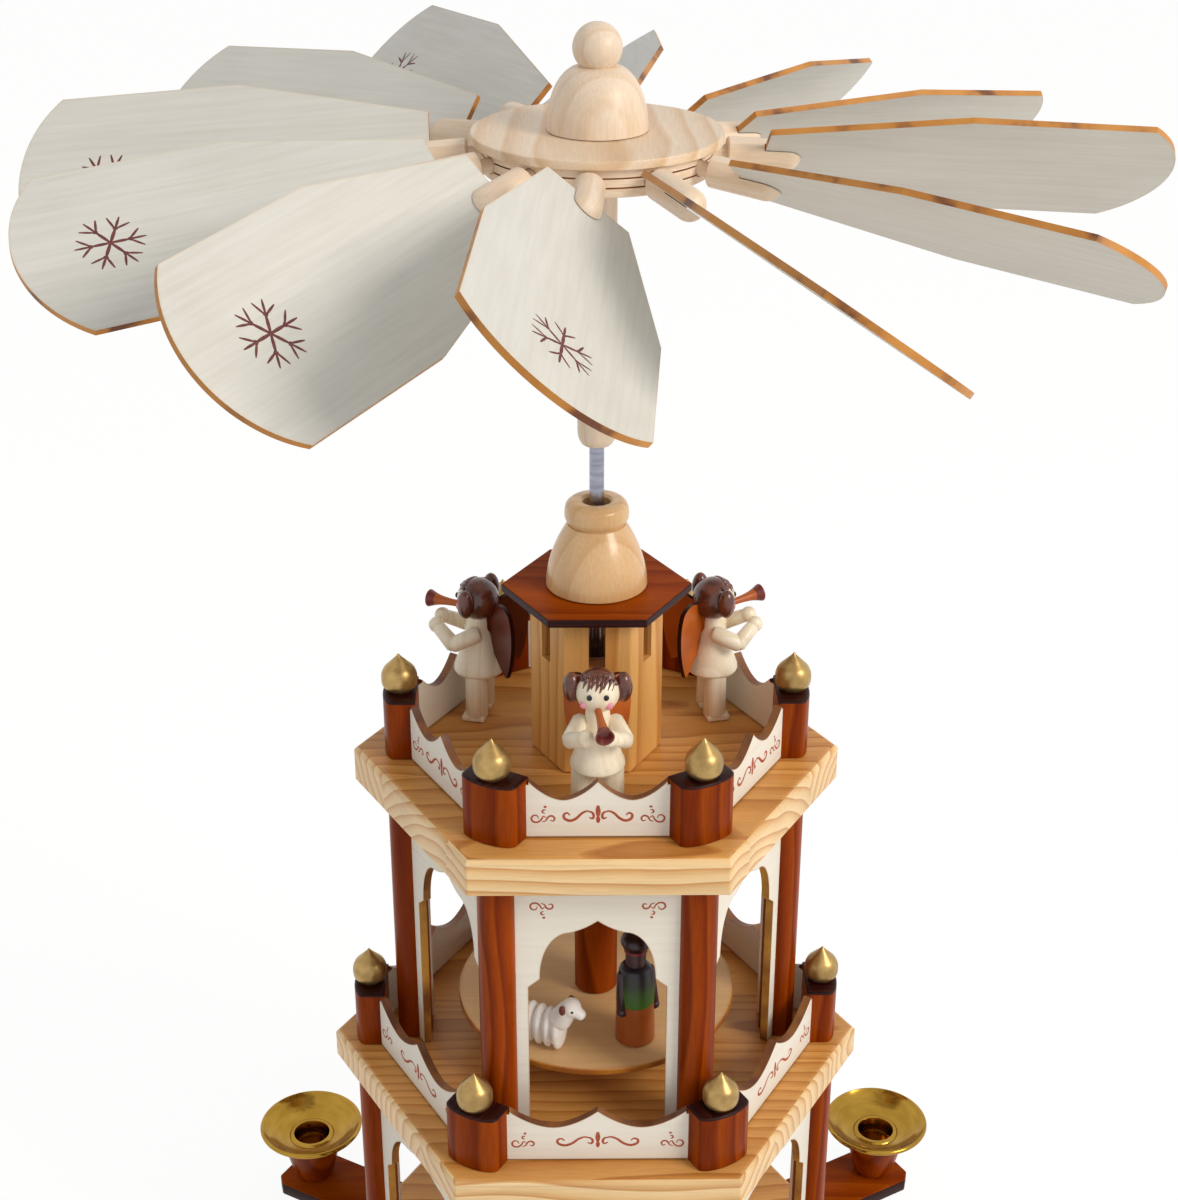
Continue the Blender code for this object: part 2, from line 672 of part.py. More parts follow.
def candle_dish():
    """A wide dish with a rolled rim, sloping down to a candle socket."""
    mouth = dish_seat()
    rim = mouth + DISH_RISE
    inner = SOCKET_RADIUS - SOCKET_WALL
    profile = [(0, mouth - SOCKET_DEPTH), (inner, mouth - SOCKET_DEPTH), (inner, mouth + DISH_SHEET)]
    profile += [(SOCKET_RADIUS, mouth + DISH_SHEET), (SOCKET_RADIUS + DISH_SHEET, mouth)]
    lip = DISH_RADIUS - DISH_ROLL
    profile.append((lip - DISH_ROLL, rim))
    for turn in (90, 30, -30, -90):
        profile.append((lip + DISH_ROLL * cos(radians(turn)), rim + DISH_ROLL * (sin(radians(turn)))))
    profile += [(lip - DISH_ROLL, rim - DISH_SHEET), (SOCKET_RADIUS, mouth - DISH_SHEET)]
    profile += [(SOCKET_RADIUS, mouth - SOCKET_DEPTH - DISH_SHEET), (0, mouth - SOCKET_DEPTH - DISH_SHEET)]
    return turned("candle_dish", profile, MEDIUM)


def pivot_cup():
    """The cup that the shaft's point turns in."""
    top = BASE_TOP + FIT + CUP_HEIGHT
    wall = SHAFT_RADIUS + RUN / 2
    profile = [(0, top - CUP_DEPTH), (wall * 0.5, top - CUP_DEPTH), (wall, top - CUP_DEPTH / 2), (wall, top)]
    profile += [(CUP_RADIUS * 0.85, top), (CUP_RADIUS, top - CUP_HEIGHT * 0.15), (CUP_RADIUS, BASE_TOP + FIT)]
    return turned("pivot_cup", profile + [(0, BASE_TOP + FIT)], MEDIUM)


def shaft(bottom, top):
    """A rod with a pointed lower end."""
    profile = [(0, top), (SHAFT_RADIUS, top), (SHAFT_RADIUS, bottom + SHAFT_POINT)]
    profile += [(SHAFT_TIP, bottom), (0, bottom)]
    return turned("shaft", profile, SMALL)


def neck(bottom, top):
    """The long socket under the hub, with a round lower end, bored from below for the shaft."""
    bore = SHAFT_RADIUS + FIT
    end = [(NECK_RADIUS, bottom + NECK_RADIUS * 0.8), (NECK_RADIUS * 0.94, bottom + NECK_RADIUS * 0.4)]
    end += [(NECK_RADIUS * 0.72, bottom + NECK_RADIUS * 0.1), (NECK_RADIUS * 0.55, bottom), (bore, bottom)]
    profile = [(0, top), (NECK_RADIUS, top)] + end + [(bore, bottom + NECK_SOCKET), (0, bottom + NECK_SOCKET)]
    return turned("hub_neck", profile, MEDIUM)


def hub_cap(bottom):
    """A bell that narrows to a neck under a ball."""
    waist = BALL_RADIUS * 0.7
    side = []
    for degrees in (90, 72, 54, 36, 18, 0):
        turn = radians(degrees)
        side.append((waist + (CAP_RADIUS - waist) * cos(turn), bottom + CAP_HEIGHT * sin(turn)))
    centre = side[0][1] + (BALL_RADIUS**2 - side[0][0] ** 2) ** 0.5
    steps = 7
    upper = [(0, centre + BALL_RADIUS)]
    for i in range(1, steps):
        turn = pi * i / steps
        if centre + BALL_RADIUS * cos(turn) > side[0][1] + BALL_RADIUS * 0.06:
            upper.append((BALL_RADIUS * sin(turn), centre + BALL_RADIUS * cos(turn)))
    return turned("hub_cap", upper + side + [(0, bottom)], MEDIUM)


def turntable_radius(ring):
    """What leaves the turntable clear of the arched panels round it."""
    return ring * APOTHEM - PANEL_THICK / 2 - TURNTABLE_CLEARANCE


def turntable(name, ring, deck_top):
    radius = turntable_radius(ring)
    top = deck_top + TURNTABLE_LIFT
    bore = SHAFT_RADIUS + FIT
    edge = TURNTABLE_THICK * 0.15
    bottom = top - TURNTABLE_THICK
    profile = [(bore, top), (radius - edge, top), (radius, top - edge)]
    profile += [(radius, bottom + edge), (radius - edge, bottom), (bore, bottom)]
    return turned(name, profile, WIDE, closed=True)


def sleeve(name, bottom, top):
    bore = SHAFT_RADIUS + FIT
    profile = [(bore, top), (SLEEVE_RADIUS - SLEEVE_ROUND, top)]
    profile += [(SLEEVE_RADIUS, top - SLEEVE_ROUND), (SLEEVE_RADIUS, bottom)]
    return turned(name, profile + [(bore, bottom)], MEDIUM, closed=True)


def stand_still(pyramid):
    """Everything that doesn't turn."""
    hole = SHAFT_RADIUS + RUN
    keep(candle_arms(), pyramid, "stained")
    keep(deck("base_plate", BASE_RADIUS, BASE_BOTTOM, BASE_TOP, 0), pyramid, "pine")
    keep(deck("middle_deck", MIDDLE_RADIUS, MIDDLE_BOTTOM, MIDDLE_TOP, hole), pyramid, "pine")
    keep(deck("top_deck", TOP_RADIUS, TOP_BOTTOM, TOP_TOP, hole), pyramid, "pine")
    lower = arcade("lower_arcade", LOWER_RING, BASE_TOP + FIT, MIDDLE_BOTTOM - FIT)
    keep(lower, pyramid, "stained", name="lower_arcade")
    upper = arcade("upper_arcade", UPPER_RING, MIDDLE_TOP + FIT, TOP_BOTTOM - FIT)
    keep(upper, pyramid, "stained", name="upper_arcade")
    middle = gallery("middle_gallery", MIDDLE_RADIUS - MIDDLE_POST_INSET, MIDDLE_TOP + FIT)
    keep(middle, pyramid, "stained", name="middle_gallery")
    top = gallery("top_gallery", TOP_RADIUS - TOP_POST_INSET, TOP_TOP + FIT)
    keep(top, pyramid, "stained", name="top_gallery")
    drum_top = TOP_TOP + DRUM_HEIGHT
    keep(lantern_drum(TOP_TOP + FIT, drum_top), pyramid, "pine")
    roof_top = drum_top + FIT + ROOF_THICK
    roof = prism("lantern_roof", ROOF_RADIUS, drum_top + FIT, roof_top, SIDES)
    combine(roof, prism("hole", hole, drum_top - OVERSHOOT, roof_top + OVERSHOOT, MEDIUM), "DIFFERENCE")
    keep(roof, pyramid, "stained")
    keep(dome(roof_top + FIT), pyramid, "honey")
    keep(pivot_cup(), pyramid, "brass")
    figure = angel()
    fence_line = (TOP_RADIUS - TOP_POST_INSET) * APOTHEM
    for name, (azimuth, facing, inset) in ANGELS.items():
        place = Matrix.Rotation(azimuth, 4, "Z") @ Matrix.Translation((fence_line - inset, 0, TOP_TOP + FIT))
        turn = Matrix.Rotation(facing - azimuth + pi / 2, 4, "Z")
        keep(copied(figure, place @ turn), pyramid, "cream", name=name)
    bpy.data.objects.remove(figure)
    dish = candle_dish()
    for k in range(SIDES):
        turn = Matrix.Rotation(FACE_TURN + 2 * FACE_TURN * k, 4, "Z")
        placed = copied(dish, turn @ Matrix.Translation((CANDLE_RING, 0, 0)))
        keep(placed, pyramid, "brass", name=f"candle_dish_{k + 1}")
    bpy.data.objects.remove(dish)
    return roof_top + FIT + DOME_HEIGHT + COLLAR_HEIGHT


def turn_round(pyramid, lantern_top):
    """The rotor: hub, shaft, turntables and figures, and the blades that each turn in the hub."""
    rotor = empty("rotor_axis", pyramid)
    neck_bottom = lantern_top + NECK_CLEARANCE
    hub_bottom = neck_bottom + NECK_LENGTH + FIT
    pivot = BASE_TOP + FIT + CUP_HEIGHT - CUP_DEPTH + FIT
    keep(shaft(pivot, neck_bottom + NECK_SOCKET - FIT), pyramid, "steel", rotor)
    keep(neck(neck_bottom, hub_bottom - FIT), pyramid, "birch", rotor)
    axis_z = hub_bottom + HUB_THICK / 2 + BLADE_AXIS_RISE
    keep(hub_block(hub_bottom, axis_z), pyramid, "birch", rotor)
    cover_bottom = hub_bottom + HUB_THICK + FIT
    cover_top = cover_bottom + COVER_THICK
    cover = [(0, cover_top), (COVER_RADIUS - COVER_ROUND, cover_top), (COVER_RADIUS, cover_top - COVER_ROUND)]
    cover += [(COVER_RADIUS, cover_bottom), (0, cover_bottom)]
    keep(turned("hub_cover", cover, WIDE), pyramid, "birch", rotor)
    keep(hub_cap(cover_top + FIT), pyramid, "honey", rotor)
    for tier, ring, floor, ceiling in (
        ("upper", UPPER_RING, MIDDLE_TOP, TOP_BOTTOM),
        ("lower", LOWER_RING, BASE_TOP, MIDDLE_BOTTOM),
    ):
        keep(turntable(f"{tier}_turntable", ring, floor), pyramid, "birch", rotor)
        foot = floor + TURNTABLE_LIFT + FIT
        keep(sleeve(f"{tier}_sleeve", foot, ceiling - SLEEVE_HEADROOM), pyramid, "stained", rotor)
    edge = turntable_radius(UPPER_RING)
    floor = MIDDLE_TOP + TURNTABLE_LIFT + FIT
    figures = ((sheep(), SHEEP_AZIMUTH, SHEEP_INSET, "white"),)
    figures += ((shepherd(), SHEPHERD_AZIMUTH, SHEPHERD_INSET, "green"),)
    for figure, azimuth, inset, colour in figures:
        place = Matrix.Rotation(azimuth, 4, "Z") @ Matrix.Translation((edge - inset, 0, floor))
        keep(moved(figure, place @ Matrix.Rotation(pi / 2, 4, "Z")), pyramid, colour, rotor)
    board, rod = blade(), blade_holder()
    for index in range(BLADE_COUNT):
        rim, turn = blade_pose(index, axis_z)
        swivel = empty(f"blade_axis_{index + 1:02d}", pyramid, rim, turn, rotor)
        keep(link(board.name, board.data), pyramid, "pale_ply", swivel, f"blade_{index + 1:02d}")
        keep(link(rod.name, rod.data), pyramid, "birch", swivel, f"blade_holder_{index + 1:02d}")
    bpy.data.objects.remove(board)
    bpy.data.objects.remove(rod)


def main():
    for obj in list(bpy.data.objects):
        bpy.data.objects.remove(obj)
    pyramid = bpy.data.collections.new("christmas_pyramid")
    bpy.context.scene.collection.children.link(pyramid)
    lantern_top = stand_still(pyramid)
    turn_round(pyramid, lantern_top)


main()
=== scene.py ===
# %% [markdown]
# # A candle pyramid with two tiers and a twelve-blade rotor
#
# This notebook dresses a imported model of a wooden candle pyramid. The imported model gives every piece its
# true place and size, and each step below makes the fine piece that takes a plain one's place: turned wood,
# sawn boards, spun brass and painted figures. Lengths are in metres, +Z is up, and the front is -Y.

from math import cos, pi, radians, sin, sqrt

import bmesh
import bpy
from mathutils import Euler, Matrix, Vector


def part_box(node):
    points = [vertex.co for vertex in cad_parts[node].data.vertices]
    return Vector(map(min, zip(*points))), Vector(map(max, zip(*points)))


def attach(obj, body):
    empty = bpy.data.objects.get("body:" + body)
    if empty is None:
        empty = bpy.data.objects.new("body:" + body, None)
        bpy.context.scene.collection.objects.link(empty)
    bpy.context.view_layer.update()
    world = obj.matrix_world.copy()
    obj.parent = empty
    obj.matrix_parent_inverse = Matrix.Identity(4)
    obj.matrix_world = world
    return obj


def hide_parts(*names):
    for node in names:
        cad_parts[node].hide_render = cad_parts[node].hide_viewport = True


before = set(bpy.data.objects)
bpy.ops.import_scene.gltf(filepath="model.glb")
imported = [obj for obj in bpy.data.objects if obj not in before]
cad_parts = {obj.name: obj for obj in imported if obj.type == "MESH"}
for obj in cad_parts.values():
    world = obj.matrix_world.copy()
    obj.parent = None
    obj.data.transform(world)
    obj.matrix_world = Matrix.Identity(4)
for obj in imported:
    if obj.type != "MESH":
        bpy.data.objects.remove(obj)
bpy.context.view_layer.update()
# A new Blender file starts with these three, and nothing here wants them.
for leftover in ("Cube", "Camera", "Light"):
    if leftover in bpy.data.objects:
        bpy.data.objects.remove(bpy.data.objects[leftover])

# %% [markdown]
# ## The sizes that the steps share
#
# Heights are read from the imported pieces. The rings, insets and thicknesses are the ones that the pyramid was
# drawn with, because a piece with several parts, such as a gallery, has only one box.

# %% Shared sizes
MM = 0.001
SIDES = 6
FACE_TURN = pi / SIDES  # from a corner of the hexagon to the middle of a side
APOTHEM = cos(FACE_TURN)
FIT = 0.3 * MM  # the gap between pieces that touch

BASE_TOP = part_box("base_plate")[1].z
MIDDLE_BOTTOM, MIDDLE_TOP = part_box("middle_deck")[0].z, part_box("middle_deck")[1].z
TOP_BOTTOM, TOP_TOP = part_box("top_deck")[0].z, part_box("top_deck")[1].z
ARM_THICK = 6 * MM
UPPER_RING, LOWER_RING = 69 * MM, 85.5 * MM  # of the columns
TOP_POSTS, MIDDLE_POSTS = 69.5 * MM, 85.5 * MM  # of the fence posts
BASE_RADIUS, MIDDLE_RADIUS, TOP_RADIUS = 115 * MM, 100 * MM, 87 * MM  # of the decks, at their corners
DECK_HOLE = 5 * MM  # for the shaft
COLUMN_RADIUS = 6.5 * MM
PANEL_THICK = 3 * MM
SHAFT_RADIUS, SLEEVE_RADIUS = 2.5 * MM, 8 * MM
CORNERS = [radians(60 * k) for k in range(SIDES)]
FACES = [turn + FACE_TURN for turn in CORNERS]
print("decks at", [round(z / MM, 1) for z in (BASE_TOP, MIDDLE_TOP, TOP_TOP)], "mm")

# %% [markdown]
# ## Helpers for modelling by hand
#
# An operator works on whatever is selected, so each step first selects its own piece alone. Faces are picked by
# their place or normal, as a person would click them.


# %% Selecting, applying and placing
def select_only(*pieces):
    """Selects these pieces and nothing else, the first one active."""
    bpy.ops.object.select_all(action="DESELECT")
    for piece in pieces:
        piece.select_set(True)
    bpy.context.view_layer.objects.active = pieces[0]


def pick(piece, kind, test):
    """In edit mode, selects the faces, edges or corners that pass the test."""
    bpy.ops.mesh.select_mode(type=kind)
    bpy.ops.mesh.select_all(action="DESELECT")
    shape = bmesh.from_edit_mesh(piece.data)
    for item in {"FACE": shape.faces, "EDGE": shape.edges, "VERT": shape.verts}[kind]:
        if test(item):
            item.select_set(True)
    bmesh.update_edit_mesh(piece.data)


def apply_modifier(piece, kind, **settings):
    """Adds one modifier with these settings and applies it."""
    select_only(piece)
    modifier = piece.modifiers.new(kind, kind)
    for name, value in settings.items():
        setattr(modifier, name, value)
    bpy.ops.object.modifier_apply(modifier=modifier.name)
    return piece


def cut(piece, cutter, operation="DIFFERENCE"):
    """Cuts a second shape out of the piece, or joins it on, and throws the second shape away."""
    apply_modifier(piece, "BOOLEAN", operation=operation, solver="EXACT", object=cutter)
    bpy.data.objects.remove(cutter)
    return piece


def begin(operator, name, **settings):
    """A new simple mesh, selected alone, at the origin unless its settings say where."""
    bpy.ops.object.select_all(action="DESELECT")
    operator(**{"location": (0, 0, 0), **settings})
    piece = bpy.context.object
    piece.name = name
    return piece


def coat(piece, *materials):
    """Gives the piece these materials, the first one on all its faces."""
    for material in materials:
        piece.data.materials.append(material)
    return piece


def second_coat(piece, test):
    """Gives the second material to the faces that pass the test."""
    for face in piece.data.polygons:
        face.material_index = 1 if test(face) else 0


def smooth(piece, degrees=35):
    """Rounds the shading where faces meet at less than this angle."""
    select_only(piece)
    bpy.ops.object.shade_smooth_by_angle(angle=radians(degrees))
    return piece


def flat_faces(piece):
    """Lets the broad faces decide the shading beside them, so that a large flat board stays even."""
    return apply_modifier(piece, "WEIGHTED_NORMAL", keep_sharp=True)


def soften(piece, width, segments=2, degrees=35):
    """Breaks the sharp edges, as sandpaper does."""
    apply_modifier(
        piece, "BEVEL", width=width, segments=segments, limit_method="ANGLE", angle_limit=radians(degrees)
    )
    return smooth(piece, degrees)


def settle(piece, place):
    """Moves the piece within its own mesh, so that its object stays at the origin."""
    piece.data.transform(place)
    piece.data.update()
    return piece


def cube(name, place):
    """A cube of size 1, stretched and set by this matrix."""
    return settle(begin(bpy.ops.mesh.primitive_cube_add, name, size=1), place)


def prism(name, radius, low, high):
    """An upright six-sided block that shows a face to the front."""
    block = begin(
        bpy.ops.mesh.primitive_cylinder_add, name, vertices=SIDES, radius=radius, depth=high - low,
        location=(0, 0, (low + high) / 2), rotation=(0, 0, FACE_TURN),
    )
    bpy.ops.object.transform_apply(location=True, rotation=True, scale=True)
    return block


def outwards(piece):
    """Turns every face of a closed shape to the outside."""
    select_only(piece)
    bpy.ops.object.mode_set(mode="EDIT")
    bpy.ops.mesh.select_all(action="SELECT")
    bpy.ops.mesh.normals_make_consistent(inside=False)
    bpy.ops.object.mode_set(mode="OBJECT")
    return piece


# %% [markdown]
# A wood pattern has to stay with its piece wherever the piece goes. Each piece therefore remembers, at every
# corner, where that corner lay before the piece was turned into its place. The materials read this as their
# drawing coordinates, and each copy is shifted a little, so that no two boards show the same grain.


# %% Remembering the grain, and copying
def remember_grain(piece, shift=Vector((0, 0, 0))):
    """Stores each corner's present place as the piece's own drawing coordinates."""
    own = piece.data.attributes.get("own") or piece.data.attributes.new("own", "FLOAT_VECTOR", "POINT")
    places = []
    for corner in piece.data.vertices:
        places.extend(corner.co + shift)
    own.data.foreach_set("vector", places)
    return piece


def copy_to(piece, name, place, number=0):
    """A copy with a mesh of its own, settled at this place, its grain shifted by its number."""
    twin = piece.copy()
    twin.data = piece.data.copy()
    twin.name = name
    bpy.context.scene.collection.objects.link(twin)
    own = twin.data.attributes.get("own")
    if own:
        shift = Vector((0.32, 0.16, 0.24)) * number
        for item in own.data:
            item.vector = item.vector + shift
    return settle(twin, place)


def finish_piece(piece, body, slot, *nodes):
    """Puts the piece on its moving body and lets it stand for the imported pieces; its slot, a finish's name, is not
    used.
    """
    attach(piece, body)
    if nodes:
        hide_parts(*nodes)
    return piece


def drop(*pieces):
    """Throws away patterns that have been copied."""
    for piece in pieces:
        bpy.data.objects.remove(piece)


# %% [markdown]
# ## A lathe
#
# Most of a pyramid is turned. A turned piece starts here as a flat disc, its foot. The disc is extruded ring by
# ring and each ring is scaled to its radius, which is how a lathe tool would work its way along. A ring at the
# height of the last one makes a flat step, and going back down inside makes a bore.


# %% Turning
def flow(points, steps=4):
    """A smooth run through the points, with this many stretches between two of them."""
    points = [Vector(point) for point in points]
    ends = [2 * points[0] - points[1]] + points + [2 * points[-1] - points[-2]]
    run = [points[0]]
    for a, b, c, d in zip(ends, ends[1:], ends[2:], ends[3:]):
        for i in range(1, steps + 1):
            t = i / steps
            bend = (2 * a - 5 * b + 4 * c - d) * t * t + (3 * b - a - 3 * c + d) * t**3
            run.append(0.5 * (2 * b + (c - a) * t + bend))
    return run


def turn(name, rings, sides=48):
    """Turns a closed shape. The rings are (radius, height) from the foot on; a last radius of 0 makes a point."""
    rings = [tuple(ring) for ring in rings]
    radius, height = rings[0]
    piece = begin(bpy.ops.mesh.primitive_circle_add, name, vertices=sides, radius=radius, fill_type="NGON")
    bpy.ops.object.mode_set(mode="EDIT")
    bpy.ops.mesh.select_mode(type="FACE")
    bpy.ops.mesh.select_all(action="SELECT")
    bpy.ops.transform.translate(value=(0, 0, height))
    for wide, high in rings[1:]:
        bpy.ops.mesh.extrude_region_move(TRANSFORM_OT_translate={"value": (0, 0, high - height)})
        if wide < 1e-6:
            bpy.ops.mesh.merge(type="CENTER")
            break
        bpy.ops.transform.resize(value=(wide / radius, wide / radius, 1), center_override=(0, 0, high))
        radius, height = wide, high
    bpy.ops.mesh.select_all(action="SELECT")
    bpy.ops.mesh.normals_make_consistent(inside=False)
    bpy.ops.object.mode_set(mode="OBJECT")
    return smooth(piece)


def in_mm(rings):
    """Rings drawn in millimetres, as metres."""
    return [Vector(ring) * MM for ring in rings]


def chamfered(radius, low, high, edge):
    """The rings of a cylinder with both rims broken."""
    return [(radius - edge, low), (radius, low + edge), (radius, high - edge), (radius - edge, high)]


def drill(piece, radius, low, high, sides=32):
    """Bores an upright hole on the axis, right through."""
    return cut(piece, turn("drill", [(radius, low), (radius, high)], sides))


# %% [markdown]
# ## A fretsaw
#
# Boards are traced the way a fretsaw follows a line: one corner is walked round the outline by extruding it,
# the loop is closed and filled, and the face is extruded to the board's thickness. The outline is drawn upright,
# x to the right and z up, and the board's front faces -Y.


# %% Sawing
def saw(name, outline, thickness):
    """Saws a board of this closed outline, half its thickness to each side of the drawing plane."""
    board = begin(bpy.ops.mesh.primitive_plane_add, name, size=10 * MM)
    bpy.ops.object.mode_set(mode="EDIT")
    bpy.ops.mesh.select_mode(type="VERT")
    bpy.ops.mesh.select_all(action="SELECT")
    bpy.ops.mesh.merge(type="CENTER")
    bpy.ops.mesh.select_all(action="SELECT")
    x, z = outline[0]
    bpy.ops.transform.translate(value=(x, -thickness / 2, z))
    for next_x, next_z in list(outline[1:]) + [outline[0]]:
        bpy.ops.mesh.extrude_vertices_move(TRANSFORM_OT_translate={"value": (next_x - x, 0, next_z - z)})
        x, z = next_x, next_z
    bpy.ops.mesh.select_all(action="SELECT")
    bpy.ops.mesh.remove_doubles(threshold=0.002 * MM)
    bpy.ops.mesh.select_all(action="SELECT")
    bpy.ops.mesh.edge_face_add()
    bpy.ops.mesh.extrude_region_move(TRANSFORM_OT_translate={"value": (0, thickness, 0)})
    bpy.ops.mesh.select_all(action="SELECT")
    bpy.ops.mesh.normals_make_consistent(inside=False)
    bpy.ops.object.mode_set(mode="OBJECT")
    return board


def scorch(board, margin, face_material, edge_material):
    """Insets the two broad faces and marks the sawn edge, so that the tint fades out over this margin."""
    select_only(board)
    bpy.ops.object.mode_set(mode="EDIT")
    pick(board, "FACE", lambda face: abs(face.normal.y) > 0.9 and len(face.verts) > 4)
    bpy.ops.mesh.inset(thickness=margin)
    bpy.ops.object.mode_set(mode="OBJECT")
    burnt = [0.0] * len(board.data.vertices)
    for face in board.data.polygons:
        if abs(face.normal.y) < 0.5:
            for corner in face.vertices:
                burnt[corner] = 1.0
    board.data.attributes.new("scorch", "FLOAT", "POINT").data.foreach_set("value", burnt)
    coat(board, face_material, edge_material)
    second_coat(board, lambda face: abs(face.normal.y) < 0.5)
    return board


def stand_at(turn, distance, height=0.0):
    """Where a piece drawn with its front to -Y stands when it faces outwards at this turn."""
    return Matrix.Rotation(turn + pi / 2, 4, "Z") @ Matrix.Translation((0, -distance, height))


# %% [markdown]
# ## The camera
#
# The photograph looks down at the pyramid from in front, 26 degrees below the horizontal. Its focal length and
# place were solved from the decks, the roof and the hub, for a picture of 1178 by 1200 pixels. A slight shift
# keeps the picture's centre where it was.

# %% Camera
PICTURE_WIDTH = 1178
FOCAL_PIXELS = 2111.7
look_yaw, look_down, look_roll = radians(0.77), radians(26.04), radians(0.19)
ahead = Vector((sin(look_yaw) * cos(look_down), cos(look_yaw) * cos(look_down), -sin(look_down)))
level = Vector((cos(look_yaw), -sin(look_yaw), 0))
upright = level.cross(ahead)
right = level * cos(look_roll) + upright * sin(look_roll)
above = upright * cos(look_roll) - level * sin(look_roll)

lens = bpy.data.cameras.new("camera")
lens.sensor_fit = "HORIZONTAL"
lens.sensor_width = 36
lens.lens = FOCAL_PIXELS * lens.sensor_width / PICTURE_WIDTH
lens.shift_x = -14.64 / PICTURE_WIDTH
lens.clip_start = 0.01
camera = bpy.data.objects.new("camera", lens)
bpy.context.scene.collection.objects.link(camera)
facing = Matrix((right, above, -ahead)).transposed().to_4x4()
camera.matrix_world = Matrix.Translation((-6.38 * MM, -657.68 * MM, TOP_TOP + 379.2 * MM)) @ facing
bpy.context.scene.camera = camera
bpy.context.scene.view_settings.view_transform = "Standard"
print("lens", round(lens.lens, 1), "mm")

# %% [markdown]
# ## Light, floor and background
#
# The pyramid was photographed in a white studio with the main light at the right of the camera. An even world
# gives the level light, one broad lamp gives the direction, and a weak one opens the left side. The white
# background is colour, not light: rays that see the surroundings find white, while the light that falls on the
# pyramid stays plain.


# %% Helpers for nodes
def colour(code):
    """A hex colour as it is seen on a screen, turned to the linear values that a shader takes."""
    shares = [int(code[i : i + 2], 16) / 255 for i in (0, 2, 4)]
    return (*(s / 12.92 if s <= 0.04045 else ((s + 0.055) / 1.055) ** 2.4 for s in shares), 1)


def connect(tree, node, inputs):
    """Sets a node's inputs to values, or links them to the outputs of other nodes."""
    for name, value in inputs.items():
        if isinstance(value, bpy.types.NodeSocket):
            tree.links.new(value, node.inputs[name])
        else:
            node.inputs[name].default_value = value


def add(tree, kind, inputs=None, **settings):
    """Adds a shader node with its settings and its inputs."""
    node = tree.nodes.new("ShaderNode" + kind)
    for name, value in settings.items():
        setattr(node, name, value)
    connect(tree, node, inputs or {})
    return node


def maths(tree, operation, *values):
    """One sum on numbers."""
    return add(tree, "Math", dict(enumerate(values)), operation=operation).outputs[0]


def vectors(tree, operation, *values):
    """One sum on places."""
    return add(tree, "VectorMath", dict(enumerate(values)), operation=operation).outputs[0]


def noise(tree, vector, scale, detail, roughness=0.5):
    """A number that wanders between 0 and 1."""
    inputs = {"Vector": vector, "Scale": scale, "Detail": detail, "Roughness": roughness}
    return add(tree, "TexNoise", inputs).outputs["Fac"]


def stretched(tree, vector, scale):
    """Places drawn out along the axes with a small scale."""
    return add(tree, "Mapping", {"Vector": vector, "Scale": scale}).outputs[0]


def remap(tree, value, target, source=(0.0, 1.0)):
    """A number moved from one span to another."""
    spans = {"From Min": source[0], "From Max": source[1], "To Min": target[0], "To Max": target[1]}
    return add(tree, "MapRange", {"Value": value, **spans}).outputs[0]


def ramp(tree, share, stops):
    """A colour that runs through these stops, each a share and a hex colour."""
    node = add(tree, "ValToRGB", {"Fac": share})
    elements = node.color_ramp.elements
    while len(elements) < len(stops):
        elements.new(1.0)
    for element, (place, code) in zip(elements, stops):
        element.position = place
        element.color = colour(code)
    return node.outputs["Color"]


def seen_white(tree):
    """1 for rays that see the surroundings directly, in a mirror or through glass, and 0 for the others."""
    ray = add(tree, "LightPath").outputs
    direct = maths(tree, "MAXIMUM", ray["Is Camera Ray"], ray["Is Glossy Ray"])
    return maths(tree, "MAXIMUM", direct, ray["Is Transmission Ray"])


# %% World and lamps
WORLD_LEVEL = 0.57
world = bpy.data.worlds.new("studio")
bpy.context.scene.world = world
world.use_nodes = True
sky = world.node_tree
sky.nodes.clear()
strength = remap(sky, seen_white(sky), (WORLD_LEVEL, 1.0))
backdrop = add(sky, "Background", {"Color": (1, 1, 1, 1), "Strength": strength})
add(sky, "OutputWorld", {"Surface": backdrop.outputs[0]})
PYRAMID_MIDDLE = Vector((0, 0, 0.28))


def lamp(name, place, size, power, tint):
    """A square soft lamp that looks at the middle of the pyramid."""
    light = bpy.data.lights.new(name, "AREA")
    light.size = size
    light.energy = power
    light.color = colour(tint)[:3]
    obj = bpy.data.objects.new(name, light)
    obj.location = place
    obj.rotation_euler = (PYRAMID_MIDDLE - Vector(place)).to_track_quat("-Z", "Y").to_euler()
    bpy.context.scene.collection.objects.link(obj)


lamp("key_light", (1.3, -0.9, 1.3), 0.7, 20, "FFF8EE")
lamp("fill_light", (-1.3, -0.9, 0.7), 1.2, 0.8, "F4F6FF")

# %% Floor
FLOOR_SIZE, FLOOR_GLOW_SHARE, FLOOR_GLOW = 24, 0.86, 1.06
floor = begin(bpy.ops.mesh.primitive_plane_add, "floor", size=FLOOR_SIZE, location=(0, 0, -FIT))
# White studio paper: matt where light falls on it, with a share of plain white for the rays that see it.
floor_paint = bpy.data.materials.new("white studio floor")
floor_paint.use_nodes = True
tree = floor_paint.node_tree
tree.nodes.clear()
share = maths(tree, "MULTIPLY", seen_white(tree), FLOOR_GLOW_SHARE)
matt = add(tree, "BsdfDiffuse", {"Color": colour("F4F2EE")})
glow = add(tree, "Emission", {"Color": (1, 1, 1, 1), "Strength": FLOOR_GLOW})
mixed = add(tree, "MixShader", {"Fac": share, 1: matt.outputs[0], 2: glow.outputs[0]})
add(tree, "OutputMaterial", {"Surface": mixed.outputs[0]})
coat(floor, floor_paint)

